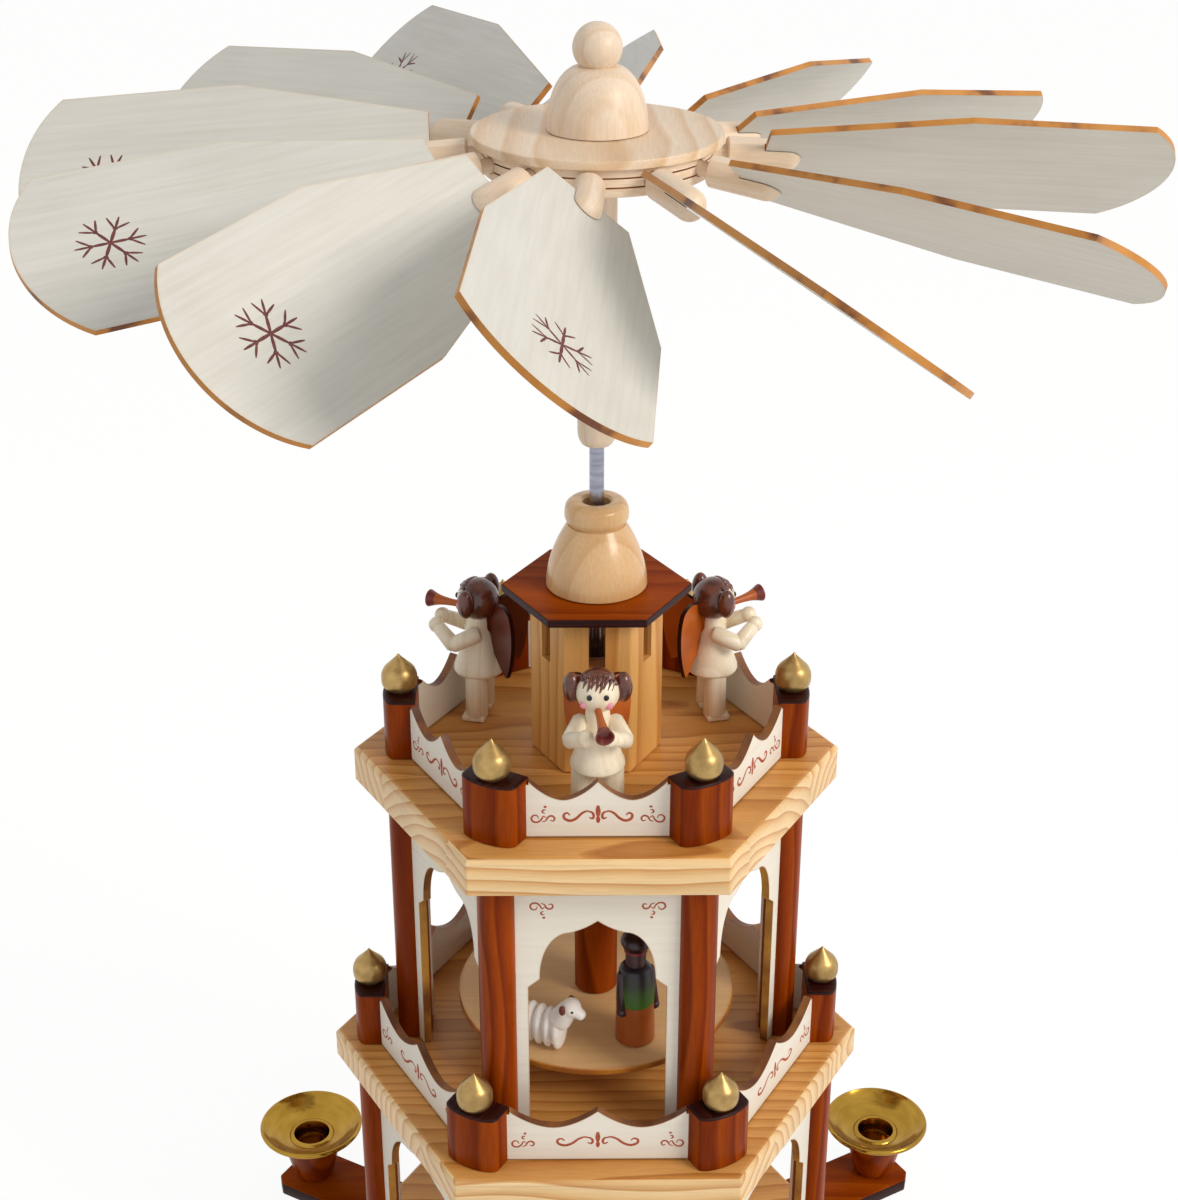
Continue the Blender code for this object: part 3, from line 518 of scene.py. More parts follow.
# %% [markdown]
# ## Materials
#
# Every wood here is the same idea with other numbers. A board is sawn from a log, so its rings are circles round
# a pith that usually lies outside it. The distance from the pith, bent a little by a slow noise, is divided by the
# ring's width, and the part after the point says where in its ring a place lies. Space is parted into cells, and
# each cell has a pith of its own, so every copy of a piece, and every stave of a glued board, shows other rings.


# %% Wood
def start_material(name, roughness, **shader_values):
    """A material with a Principled shader, its node tree and the shader."""
    made = bpy.data.materials.new(name)
    made.use_nodes = True
    tree = made.node_tree
    shader = tree.nodes["Principled BSDF"]
    values = {socket.replace("_", " "): value for socket, value in shader_values.items()}
    connect(tree, shader, {"Roughness": roughness, **values})
    return made, tree, shader


def own_places(tree):
    """The piece's own drawing coordinates, which remember_grain stored."""
    return add(tree, "Attribute", attribute_name="own").outputs["Vector"]


def fine_relief(tree, height):
    """The slight roughness that fibres leave on a sanded face."""
    return add(tree, "Bump", {"Height": height, "Strength": 0.10, "Distance": 0.1 * MM}).outputs[0]


STAVE_LENGTH = 80 * MM  # of a cell, along the grain and through the board
PITH_SPREAD = (0.07,) * 3  # how far a cell's pith may lie from the cell's middle
HALF = (0.5,) * 3
MIDDLE_OF_NOISE = (0.3, 0.7)  # between these, noise is spread over its whole span


def wood(
    name, stops, ring_mm, along, roughness, cell_mm=80, fibre=0.10, cloud=0.12, bend=2.0, **shader_values
):
    """Wood whose grain runs along one axis of its own coordinates, with rings of this width."""
    made, tree, shader = start_material(name, roughness, **shader_values)
    own = own_places(tree)
    across = {"X": (0, 1, 1), "Y": (1, 0, 1), "Z": (1, 1, 0)}[along]
    drawn_out = {"X": (0.07, 1, 1), "Y": (1, 0.07, 1), "Z": (1, 1, 0.07)}[along]
    cell = (cell_mm * MM,) * 3 if along == "Z" else (STAVE_LENGTH, cell_mm * MM, STAVE_LENGTH)
    cells = vectors(tree, "ADD", vectors(tree, "DIVIDE", own, cell), HALF)
    cells = vectors(tree, "MULTIPLY", vectors(tree, "FLOOR", cells), across)
    # A cell's number may be 0 or -0, which draw different lots, so a little is added to it.
    seed = vectors(tree, "ADD", cells, (0.4, 0.4, 0.4))
    chance = add(tree, "TexWhiteNoise", {"Vector": seed}, noise_dimensions="3D").outputs["Color"]
    off = vectors(tree, "MULTIPLY", vectors(tree, "SUBTRACT", chance, HALF), PITH_SPREAD)
    pith = vectors(tree, "MULTIPLY_ADD", cells, cell, off)
    radial = vectors(tree, "MULTIPLY", vectors(tree, "SUBTRACT", own, pith), across)
    distance = add(tree, "VectorMath", {0: radial}, operation="LENGTH").outputs["Value"]
    fibre_places = stretched(tree, own, drawn_out)
    wander = noise(tree, stretched(tree, own, tuple(0.3 + 0.7 * s for s in across)), 30.0, 1.5)
    bent = maths(tree, "MULTIPLY_ADD", wander, 2 * bend * ring_mm * MM, distance)
    phase = maths(tree, "FRACT", maths(tree, "DIVIDE", bent, ring_mm * MM))
    fibres = noise(tree, fibre_places, 1400.0, 2.0)
    clouded = remap(tree, noise(tree, fibre_places, 45.0, 3.0), (-cloud, cloud), MIDDLE_OF_NOISE)
    streaked = remap(tree, fibres, (-fibre, fibre), MIDDLE_OF_NOISE)
    shade = maths(tree, "ADD", maths(tree, "ADD", clouded, streaked), 1.0)
    tone = add(tree, "HueSaturation", {"Value": shade, "Color": ramp(tree, phase, stops)})
    connect(tree, shader, {"Base Color": tone.outputs["Color"], "Normal": fine_relief(tree, fibres)})
    return made


# Pine boards, glued from staves, planed and lacquered: wide pale early wood and thin orange late wood.
pine = wood(
    "lacquered pine",
    ((0.0, "EDCE9C"), (0.5, "E6C088"), (0.80, "D8A86C"), (0.93, "C88E50"), (1.0, "E2B87C")),
    4.4, "X", 0.42, 42, 0.06, 0.10, 1.8, Coat_Weight=0.15, Coat_Roughness=0.25,
)
# The upper faces get a darker, more orange copy of the pine: painted shade, standing in for the saturated shade on
# the decks' upper faces.
pine_top_painted_shade = wood(
    "lacquered pine, upper face in painted shade",
    ((0.0, "D89E56"), (0.5, "D0944E"), (0.80, "C4843E"), (0.93, "B47232"), (1.0, "CE904A")),
    4.8, "X", 0.42, 42, 0.08, 0.12, 1.8, Specular_IOR_Level=0.3, Coat_Weight=0.1, Coat_Roughness=0.25,
)
# The drum's pine stands upright, so its rings run up the faces.
pine_upright = wood(
    "lacquered pine, upright grain", ((0.0, "E0AC66"), (0.6, "D69E58"), (0.9, "C48440"), (1.0, "D89E5A")),
    5.0, "Z", 0.42, 80, 0.06, 0.10, 1.0, Specular_IOR_Level=0.3, Coat_Weight=0.1, Coat_Roughness=0.25,
)
# Beech under a red-brown spirit stain and lacquer. Its rings hardly show, its fibres take more colour.
stained = wood(
    "stained beech", ((0.0, "9C4606"), (0.5, "903C04"), (0.85, "803002"), (1.0, "944006")),
    4.6, "X", 0.34, 80, 0.12, 0.16, 1.4, Specular_IOR_Level=0.02,
)
stained_upright = wood(
    "stained beech, upright grain", ((0.0, "964004"), (0.5, "863402"), (0.85, "702602"), (1.0, "8C3A02")),
    4.6, "Z", 0.3, 80, 0.12, 0.16, 1.4, Specular_IOR_Level=0.08,
)
# End grain and rubbed rims drink the stain and go nearly black.
stained_rim = wood(
    "stained end grain", ((0.0, "3A120A"), (0.5, "2A0A08"), (1.0, "1C0604")),
    1.6, "X", 0.4, 80, 0.2, 0.2, 1.0, Specular_IOR_Level=0.15,
)
# Birch, sanded and left pale with a pinkish cast: broad soft rings and short fibres.
birch_stops = ((0.0, "EBD7C0"), (0.5, "E9D3BA"), (0.88, "E4CAAC"), (1.0, "EAD5BD"))
birch = wood("sanded birch", birch_stops, 4.6, "Z", 0.46, 80, 0.06, 0.06, 1.2, Coat_Weight=0.1)
birch_flat = wood("sanded birch, lying", birch_stops, 5.4, "X", 0.46, 80, 0.06, 0.06, 1.4, Coat_Weight=0.1)
# The cover's board shows bold rings, because it is cut close to the bark.
birch_bold = wood(
    "sanded birch, bold rings", ((0.0, "E8D2B8"), (0.5, "E3C8A8"), (0.85, "D8B48C"), (1.0, "E5CCAE")),
    9.0, "Y", 0.46, 160, 0.06, 0.06, 1.2, Coat_Weight=0.1,
)
# Turned beech with an orange lacquer.
honey = wood(
    "honey lacquered beech", ((0.0, "E2BA88"), (0.6, "DEB480"), (0.9, "D6A870"), (1.0, "E0B684")),
    5.2, "Z", 0.32, 80, 0.06, 0.08, 1.0, Coat_Weight=0.3, Coat_Roughness=0.15,
)
# Maple for the figures: creamy, almost without figure.
maple = wood(
    "creamy maple", ((0.0, "F5E9D2"), (0.6, "F3E6CC"), (0.9, "ECDCC0"), (1.0, "F3E6CC")),
    5.2, "Z", 0.42, 80, 0.05, 0.05, 1.0, Coat_Weight=0.2,
)

# %% [markdown]
# Blades, fences and arches are sawn from thin birch plywood with a hot beam, which browns the sawn edge and
# leaves only a faint amber tint on the face beside it. The sawn edge has a material of its own, and the face's
# material reads a mark that is 1 along the cut and 0 beyond the tinted margin.


# %% Burnt plywood
def plain_ply(name, face_stops, tint, share):
    """Pale plywood with its grain along X, tinted a little along its sawn edges."""
    made, tree, shader = start_material(name, 0.55)
    own = own_places(tree)
    fibres = noise(tree, stretched(tree, own, (0.05, 1, 1)), 520.0, 4.0, 0.65)
    clouds = noise(tree, own, 26.0, 2.0)
    mixed = add(tree, "Mix", {"Factor": 0.35, "A": fibres, "B": clouds}, data_type="FLOAT")
    face = ramp(tree, mixed.outputs[0], face_stops)
    mark = add(tree, "Attribute", attribute_name="scorch").outputs["Fac"]
    faded = maths(tree, "MULTIPLY", maths(tree, "POWER", mark, 2.0), share)
    tone = add(tree, "Mix", {"Factor": faded, "A": face, "B": colour(tint)}, data_type="RGBA")
    connect(tree, shader, {"Base Color": tone.outputs["Result"], "Normal": fine_relief(tree, fibres)})
    return made


def burnt_edge(name, stops):
    """A sawn edge, browned in patches where the beam went slowly."""
    made, tree, shader = start_material(name, 0.5)
    own = own_places(tree)
    connect(tree, shader, {"Base Color": ramp(tree, noise(tree, own, 60.0, 3.0), stops)})
    return made


# Thin birch plywood, sanded and bare: greyish on the blades, whiter on the panels, warmer on the turntables.
blade_ply = plain_ply("blade plywood", ((0.3, "CECBC2"), (0.5, "D7D5CD"), (0.7, "DFDDD6")), "CFA868", 0.35)
panel_ply = plain_ply("panel plywood", ((0.3, "E5DFD0"), (0.5, "EBE6DA"), (0.7, "F0ECE2")), "B88448", 0.55)
table_ply = plain_ply("turntable plywood", ((0.3, "D2A670"), (0.5, "DAB07A"), (0.7, "E2BC88")), "C08848", 0.5)
# Their sawn edges, charred brown in places and amber in others.
blade_edge = burnt_edge("burnt blade edge", ((0.36, "6B3A18"), (0.46, "B8782E"), (0.64, "C8883A")))
fence_edge = burnt_edge("burnt fence edge", ((0.36, "5A3018"), (0.5, "7A4A28"), (0.64, "94602F")))
arch_edge = burnt_edge("burnt arch edge", ((0.36, "7A4A20"), (0.5, "B07A34"), (0.64, "D09A44")))
table_edge = burnt_edge("burnt turntable edge", ((0.36, "94501C"), (0.5, "B8701E"), (0.64, "C8822A")))

# %% [markdown]
# The remaining finishes are paints, prints and metals. Paint on turned wood is never quite even, so each paint
# has a slow noise in its colour and in its roughness.


# %% Paints and metals
def paint(name, pale, deep, roughness, scale=220.0, **shader_values):
    """Brushed paint, its tone drifting between two colours."""
    made, tree, shader = start_material(name, roughness, **shader_values)
    drift = noise(tree, add(tree, "TexCoord").outputs["Object"], scale, 3.0)
    shine = remap(tree, drift, (roughness * 0.8, min(1.0, roughness * 1.25)))
    connect(tree, shader, {"Base Color": ramp(tree, drift, ((0.35, pale), (0.65, deep))), "Roughness": shine})
    return made


# The figures' paints: gloss for hair and eyes, matt for cheeks, fleece and ears, stains for clothes and wings, and a
# dark copy of the wing stain that paints shade on one angel's wings.
hair_brown = paint("brown gloss paint", "6E3420", "4A2018", 0.28, Coat_Weight=0.4, Coat_Roughness=0.1)
eye_black = paint("black gloss paint", "120C0C", "1C1414", 0.2)
cheek_pink = paint("pink rouge", "EFA7B4", "E58CA0", 0.6)
sheep_white = paint("white matt paint", "FFFCF8", "F6EEE6", 0.55)
ear_brown = paint("brown matt paint", "7A3424", "642818", 0.5)
bell_red = paint("dark red gloss stain", "7A2A20", "642018", 0.35)
wing_orange = paint("orange stain", "BE5E10", "AA500C", 0.38, 90.0)
# A darker copy of the orange wing stain: painted shade for the left angel's wings, which are turned from the lamp.
wing_painted_shade = paint("dark stain", "6A2408", "561C06", 0.38, 90.0)
hat_black = paint("black stain", "2A0A0C", "1C0608", 0.35)
band_red = paint("red stain", "8A1A2A", "6E1220", 0.4)
skin_brown = paint("dark stained head", "4A2A2A", "38201E", 0.4)
robe_brown = paint("orange-brown gloss stain", "A8541C", "984614", 0.3, 60.0, Coat_Weight=0.3)
sleeve_dark = paint("dark plum stain", "3A1E26", "2A141C", 0.35)
# The stencilled scrolls, the branded snowflakes, and gold paint with a metallic gleam.
scroll_red = paint("red-brown stencil", "B4573A", "9C442C", 0.6, 900.0)
flake_brown = paint("brown brand", "74382E", "5A2A30", 0.65, 900.0)
finial_gold = paint("satin gold paint", "BC9C62", "A08250", 0.34, Metallic=0.8)


def fading_stain(name, low_mm, high_mm, stops, roughness):
    """A wood stain whose colour changes with the height on the piece."""
    made, tree, shader = start_material(name, roughness)
    own = own_places(tree)
    height = add(tree, "SeparateXYZ", {0: own}).outputs["Z"]
    share = remap(tree, height, (0.0, 1.0), (low_mm * MM, high_mm * MM))
    connect(tree, shader, {"Base Color": ramp(tree, share, stops)})
    return made


# The coat's green stain grows darker towards the top, to a dark plum at the shoulders.
coat_green = fading_stain(
    "green stain, darkened at the shoulders", 17, 32,
    ((0.0, "436E1E"), (0.35, "385A1E"), (0.62, "28301F"), (0.85, "1E1822")), 0.4,
)


def metal(name, pale, deep, roughness):
    """Drawn or spun metal, with fine marks across its roughness."""
    made, tree, shader = start_material(name, roughness, Metallic=1.0)
    own = own_places(tree)
    marks = noise(tree, stretched(tree, own, (1, 1, 6)), 110.0, 1.0)
    shine = remap(tree, marks, (roughness * 0.9, roughness * 1.15))
    connect(tree, shader, {"Base Color": ramp(tree, marks, ((0.3, pale), (0.7, deep))), "Roughness": shine})
    return made


# Polished brass sheet for dishes and cup, and ground steel rod for the shaft.
brass = metal("spun brass", "B08A3A", "A07A2E", 0.16)
steel = metal("bright drawn steel", "A4A6B2", "8C8E9C", 0.25)

# %% [markdown]
# ## Decks and base
#
# A deck is a thick hexagonal pine board with its upper rim rounded over. A six-sided cylinder is the natural
# start. Its rim is bevelled wide and its upright corners only a little, and the shaft's hole is drilled.


# %% Three hexagonal boards
RIM_ROUND, FOOT_ROUND, CORNER_ROUND = 2.5 * MM, 0.6 * MM, 0.7 * MM


def hexagon_board(name, node, radius, hole):
    """One deck in its node's place, bored for the shaft unless its hole is 0."""
    low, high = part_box(node)
    board = prism(name, radius, low.z, high.z)
    bpy.ops.object.mode_set(mode="EDIT")
    pick(board, "EDGE", lambda edge: all(corner.co.z > high.z - 0.1 * MM for corner in edge.verts))
    bpy.ops.mesh.bevel(offset=RIM_ROUND, segments=6, affect="EDGES")
    pick(board, "EDGE", lambda edge: all(corner.co.z < low.z + 0.1 * MM for corner in edge.verts))
    bpy.ops.mesh.bevel(offset=FOOT_ROUND, segments=2, affect="EDGES")
    pick(board, "EDGE", lambda edge: abs(edge.verts[0].co.z - edge.verts[1].co.z) > 5 * MM)
    bpy.ops.mesh.bevel(offset=CORNER_ROUND, segments=3, affect="EDGES")
    bpy.ops.object.mode_set(mode="OBJECT")
    if hole:
        drill(board, hole, low.z - MM, high.z + MM)
    remember_grain(flat_faces(smooth(board)))
    coat(board, pine, pine_top_painted_shade)
    # Upward faces take the darker copy of the pine: painted shade.
    second_coat(board, lambda face: face.normal.z > 0.9)
    return finish_piece(board, "stand", "pine", node)


hexagon_board("base_board", "base_plate", BASE_RADIUS, 0)
hexagon_board("middle_board", "middle_deck", MIDDLE_RADIUS, DECK_HOLE)
hexagon_board("top_board", "top_deck", TOP_RADIUS, DECK_HOLE)

# %% [markdown]
# ## Scrolls
#
# The fences and arches carry small stencilled scrolls. Each stroke is a thin curve with a rounded section that
# swells and tapers, turned into a mesh and pressed flat, so that it lies on the board like a coat of paint.


# %% Brush strokes
PAINT_LIFT = 0.05 * MM


def stroke(points, half_width):
    """One painted stroke in the drawing plane, in millimetres, tapering to both ends."""
    run = flow([(x, 0, z) for x, z in points], 4)
    curve = bpy.data.curves.new("stroke", "CURVE")
    curve.dimensions = "3D"
    curve.bevel_depth = half_width * MM
    curve.bevel_resolution = 1
    curve.use_fill_caps = True
    spline = curve.splines.new("POLY")
    spline.points.add(len(run) - 1)
    for i, (point, place) in enumerate(zip(spline.points, run)):
        point.co = (*(place * MM), 1)
        point.radius = 0.45 + 0.55 * sin(pi * (i / (len(run) - 1)))
    obj = bpy.data.objects.new("stroke", curve)
    bpy.context.scene.collection.objects.link(obj)
    select_only(obj)
    bpy.ops.object.convert(target="MESH")
    return settle(bpy.context.object, Matrix.Diagonal((1, PAINT_LIFT / (half_width * MM), 1, 1)))


def print_of(name, strokes, material):
    """Joins strokes to one print in the drawing plane."""
    painted = [stroke(points, half_width) for points, half_width in strokes]
    select_only(*painted)
    bpy.ops.object.join()
    made = bpy.context.object
    made.name = name
    made.data.materials.clear()
    coat(made, material)
    return smooth(outwards(made), 60)


def mirrored(strokes, x=0.0):
    """The same strokes, mirrored left to right about this x."""
    return [([(2 * x - px, pz) for px, pz in points], width) for points, width in strokes]


def placed(strokes, x, z, flip=1):
    """The same strokes moved to here, and upside down where flip is -1."""
    return [([(px + x, flip * pz + z) for px, pz in points], width) for points, width in strokes]


SCROLL = [
    ([(-9.3, 8.2), (-10.2, 9.1), (-11.3, 8.4), (-11.0, 6.9), (-9.2, 6.1), (-7.2, 7.0), (-5.4, 8.9), (-3.6, 9.8),
      (-2.0, 9.2)], 0.60),
    ([(-3.4, 9.7), (-2.0, 9.3), (-1.4, 8.1), (-1.8, 6.9), (-2.9, 7.4)], 0.52),
]
SPINDLE = [([(0, 5.2), (0.05, 6.6), (0, 7.8)], 0.85), ([(0, 7.6), (0.05, 9.6), (0, 12.0)], 1.0)]
CORNER = [
    ([(-1.5, 0.0), (-2.0, 1.1), (-3.1, 1.2), (-3.9, 0.1), (-3.3, -1.2), (-1.8, -1.4), (-0.6, -0.4), (0.1, 0.9),
      (1.0, 0.2)], 0.40),
    ([(-0.3, -1.3), (0.9, -0.8), (1.7, 0.6), (2.9, 1.0), (3.8, 0.1), (3.3, -1.0), (2.3, -0.7)], 0.40),
    ([(0.9, 3.3), (0.0, 3.2), (-0.2, 2.4), (0.6, 1.9)], 0.37),
    ([(0.2, 4.3), (0.7, 4.5), (1.1, 4.2)], 0.55),
]

# %% [markdown]
# ## Galleries
#
# Each deck has a gallery: a post at every corner with a gilded onion finial, and between the posts a low fence
# that dips twice. On the real thing these are six posts, six finials and six fences, glued together, so each is
# a piece of its own here.

# %% Post
POST_WIDTH, POST_DEPTH, POST_BULGE, POST_HEIGHT = 20.6 * MM, 12 * MM, 4 * MM, 22.8 * MM
flat_edge = POST_DEPTH / 2 - POST_BULGE
outline = [(-POST_DEPTH / 2, -POST_WIDTH / 2)]
for i in range(21):
    swing = -pi / 2 + pi * i / 20
    outline.append((flat_edge + POST_BULGE * cos(swing), POST_WIDTH / 2 * sin(swing)))
outline.append((-POST_DEPTH / 2, POST_WIDTH / 2))
post = settle(
    saw("post", outline, POST_HEIGHT), Matrix.Translation((0, 0, POST_HEIGHT / 2)) @ Matrix.Rotation(pi / 2, 4, "X")
)
coat(post, stained_upright, stained_rim)
select_only(post)
bpy.ops.object.mode_set(mode="EDIT")
pick(post, "EDGE", lambda edge: all(corner.co.z > POST_HEIGHT - 0.1 * MM for corner in edge.verts))
bpy.ops.mesh.bevel(offset=0.9 * MM, segments=3, affect="EDGES")
pick(post, "FACE", lambda face: face.normal.z > 0.2)
post.active_material_index = 1
bpy.ops.object.material_slot_assign()
bpy.ops.object.mode_set(mode="OBJECT")
remember_grain(smooth(post))

# %% Finial
FINIAL_RADIUS, FINIAL_HEIGHT = 6.4 * MM, 14.2 * MM
onion = flow([
    (0.68, 0.02), (0.84, 0.08), (0.97, 0.18), (1.0, 0.33), (0.97, 0.46), (0.83, 0.60), (0.62, 0.70), (0.36, 0.82),
    (0.14, 0.92), (0.04, 0.985),
], 3)
rings = [(0.6, -0.05)] + onion + [(0, 1.0)]
finial = turn("finial", [(FINIAL_RADIUS * r, POST_HEIGHT + FINIAL_HEIGHT * z) for r, z in rings], 36)
coat(finial, finial_gold)


# %% Fence
def fence_outline(half_chord):
    """Along the foot to the right, up into the post, then over the two dips."""
    end = half_chord - POST_WIDTH / 2 / APOTHEM
    into_post = half_chord - POST_DEPTH / 4
    height, dip, steps = 21 * MM, 7 * MM, 16
    points = [(-into_post, 0), (into_post, 0), (into_post, height * 0.95), (end, height * 0.95)]
    for i in range(2 * steps + 1):
        share = abs(2 * (i / steps % 1) - 1) if i < 2 * steps else 1.0
        points.append((end * (1 - i / steps), height - dip * (1 - share**1.8)))
    return points + [(-end, height * 0.95), (-into_post, height * 0.95)]


def fit_gallery(tier, ring, bottom, spread):
    """Posts, finials and fences round one deck; spread is the scrolls' width against the small fence's."""
    node = tier + "_gallery"
    for k, corner in enumerate(CORNERS):
        place = Matrix.Rotation(corner, 4, "Z") @ Matrix.Translation((ring, 0, bottom))
        twin = copy_to(post, f"{tier}_post_{k + 1}", place, k + 1)
        finish_piece(twin, "stand", "stained_wood", node)
        finish_piece(copy_to(finial, f"{tier}_finial_{k + 1}", place), "stand", "brass", node)
    fence = scorch(saw("fence", fence_outline(ring / 2), PANEL_THICK), 0.7 * MM, panel_ply, fence_edge)
    remember_grain(fence)
    wide = [([(px * spread, pz) for px, pz in points], width) for points, width in SCROLL]
    corner_x = ring / 2 / MM - 16.6
    strokes = wide + mirrored(wide) + SPINDLE
    strokes += placed(CORNER, -corner_x, 7.0) + mirrored(placed(CORNER, -corner_x, 7.0))
    scrolls = settle(
        print_of("scrolls", strokes, scroll_red), Matrix.Translation((0, -PANEL_THICK / 2, 0))
    )
    for k, face in enumerate(FACES):
        place = stand_at(face, ring * APOTHEM, bottom + FIT)
        finish_piece(copy_to(fence, f"{tier}_fence_{k + 1}", place, k + 1), "stand", "pale_ply", node)
        finish_piece(copy_to(scrolls, f"{tier}_fence_scrolls_{k + 1}", place), "stand", "stained_wood", node)
    drop(fence, scrolls)


fit_gallery("top", TOP_POSTS, TOP_TOP + FIT, 1.0)
fit_gallery("middle", MIDDLE_POSTS, MIDDLE_TOP + FIT, 1.25)
drop(post, finial)

# %% [markdown]
# ## Arcades
#
# Six turned columns carry each deck, and between two columns stands a plywood panel with a pointed arch cut out.
# The arch springs from a small shoulder, swells outwards and comes to a point.

# %% Arch outline
JAMB, ARCH_HEAD, ARCH_RISE = 4 * MM, 19 * MM, 27.3 * MM
SHOULDER_STEP, SHOULDER_RISE = 4 * MM, 3.4 * MM


def bezier(start, pull_start, pull_end, end, steps):
    """Points along a cubic, without its first point."""
    a, b, c, d = (Vector(point) for point in (start, pull_start, pull_end, end))
    points = []
    for i in range(1, steps + 1):
        t = i / steps
        points.append(tuple(a * (1 - t) ** 3 + b * 3 * t * (1 - t) ** 2 + c * 3 * t * t * (1 - t) + d * t**3))
    return points


def arch_outline(half_chord, height):
    """The panel's outline: round the outside and back through the arch."""
    edge = half_chord - COLUMN_RADIUS / 2
    half = half_chord - COLUMN_RADIUS - JAMB
    point = height - ARCH_HEAD
    shoulder = point - ARCH_RISE
    spring = (half - SHOULDER_STEP, shoulder + SHOULDER_RISE)
    haunch = (spring[0] * 0.475, point - ARCH_RISE * 0.172)
    inner = [(half, 0), (half, shoulder), spring]
    inner += bezier(spring, (spring[0], spring[1] + ARCH_RISE * 0.44), (spring[0] * 0.75, haunch[1]), haunch, 12)
    pull_in = (haunch[0] * 0.53, haunch[1] + ARCH_RISE * 0.04)
    inner += bezier(haunch, pull_in, (haunch[0] * 0.2, point - ARCH_RISE * 0.05), (0, point), 6)
    left = [(-x, z) for x, z in reversed(inner[:-1])]
    return [(edge, height), (edge, 0)] + inner + left + [(-edge, 0), (-edge, height)]


# %% Columns and panels
def fit_arcade(tier, ring, bottom, top):
    """Columns and arched panels between two decks."""
    node = tier + "_arcade"
    column = remember_grain(turn("column", chamfered(COLUMN_RADIUS, bottom, top, 0.4 * MM), 40))
    coat(column, stained_upright)
    height = top - bottom - 2 * FIT
    panel = scorch(saw("arch", arch_outline(ring / 2, height), PANEL_THICK), 0.7 * MM, panel_ply, arch_edge)
    remember_grain(panel)
    motif = placed(CORNER, -(ring / 2 / MM - COLUMN_RADIUS / MM - 9.0), height / MM - 13.0, -1)
    scrolls = print_of("scrolls", motif + mirrored(motif), scroll_red)
    settle(scrolls, Matrix.Translation((0, -PANEL_THICK / 2, 0)))
    for k in range(SIDES):
        place = Matrix.Rotation(CORNERS[k], 4, "Z") @ Matrix.Translation((ring, 0, 0))
        twin = copy_to(column, f"{tier}_column_{k + 1}", place @ Matrix.Rotation(k * 1.1, 4, "Z"), k + 1)
        finish_piece(twin, "stand", "stained_wood", node)
        place = stand_at(FACES[k], ring * APOTHEM, bottom + FIT)
        finish_piece(copy_to(panel, f"{tier}_arch_{k + 1}", place, k + 1), "stand", "pale_ply", node)
        finish_piece(copy_to(scrolls, f"{tier}_arch_scrolls_{k + 1}", place), "stand", "stained_wood", node)
    drop(column, panel, scrolls)


fit_arcade("upper", UPPER_RING, MIDDLE_TOP + FIT, TOP_BOTTOM - FIT)
fit_arcade("lower", LOWER_RING, BASE_TOP + FIT, MIDDLE_BOTTOM - FIT)

# %% [markdown]
# ## Lantern
#
# In the middle of the top deck stands a six-sided drum of pine, bored through and slotted at the top, under a
# stained roof board and a turned dome with a rounded collar. The shaft comes up through all of them.

# %% Drum, roof and dome
low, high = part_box("lantern_drum")
DRUM_RADIUS, DRUM_BORE, SLOT_WIDTH, SLOT_HEIGHT = 23.3 * MM, 9 * MM, 5.7 * MM, 21 * MM
drum = soften(prism("drum", DRUM_RADIUS, low.z, high.z), 0.8 * MM, 3)
drill(drum, DRUM_BORE, low.z - MM, high.z + MM)
for face in FACES[:3]:
    size = Matrix.Diagonal((3 * DRUM_RADIUS, SLOT_WIDTH, 2 * SLOT_HEIGHT, 1))
    cut(drum, cube("slot", Matrix.Translation((0, 0, high.z)) @ Matrix.Rotation(face, 4, "Z") @ size))
remember_grain(flat_faces(smooth(drum)))
coat(drum, pine_upright)
finish_piece(drum, "stand", "pine", "lantern_drum")

low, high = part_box("lantern_roof")
ROOF_RADIUS = 33 * MM
roof = soften(prism("roof_board", ROOF_RADIUS, low.z, high.z), 0.5 * MM, 3)
drill(roof, DECK_HOLE, low.z - MM, high.z + MM)
coat(roof, stained, stained_rim)
second_coat(roof, lambda face: abs(face.normal.z) < 0.8)
remember_grain(flat_faces(smooth(roof)))
finish_piece(roof, "stand", "stained_wood", "lantern_roof")

low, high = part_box("lantern_dome")
DOME_RADIUS, DOME_HEIGHT, COLLAR_RADIUS, COLLAR_HEIGHT = 17.5 * MM, 22.7 * MM, 11 * MM, 8.5 * MM
DOME_BORE = 4.75 * MM
rings = [(DOME_RADIUS - 0.4 * MM, low.z), (DOME_RADIUS, low.z + 0.4 * MM)]
for i in range(1, 15):
    share = i / 14
    drawn_in = (DOME_RADIUS - COLLAR_RADIUS * 0.92) * share**1.9
    rings.append((DOME_RADIUS - drawn_in, low.z + DOME_HEIGHT * share))
seam = low.z + DOME_HEIGHT
rings += [(COLLAR_RADIUS * 0.86, seam + 0.1 * MM), (COLLAR_RADIUS * 0.86, seam + 0.5 * MM)]
bead = flow([(0.90, 0.08), (0.99, 0.25), (1.0, 0.55), (0.95, 0.82), (0.82, 0.98)], 4)
rings += [(COLLAR_RADIUS * r, seam + COLLAR_HEIGHT * z) for r, z in bead]
rings += [(COLLAR_RADIUS * 0.74, high.z), (5.6 * MM, high.z), (DOME_BORE, high.z - 0.8 * MM)]
dome = turn("dome", rings + [(DOME_BORE, low.z + 2 * MM)], 64)
drill(dome, DOME_BORE, low.z - MM, low.z + 3 * MM)
remember_grain(smooth(dome, 45))
coat(dome, honey)
finish_piece(dome, "stand", "honey_wood", "lantern_dome")

# %% [markdown]
# ## Candle arms and dishes
#
# The whole pyramid stands on a star of six arms sawn from one board. Near the end of each arm sits a turned cup,
# and in it a spun brass dish whose middle drops to a socket for a small candle.

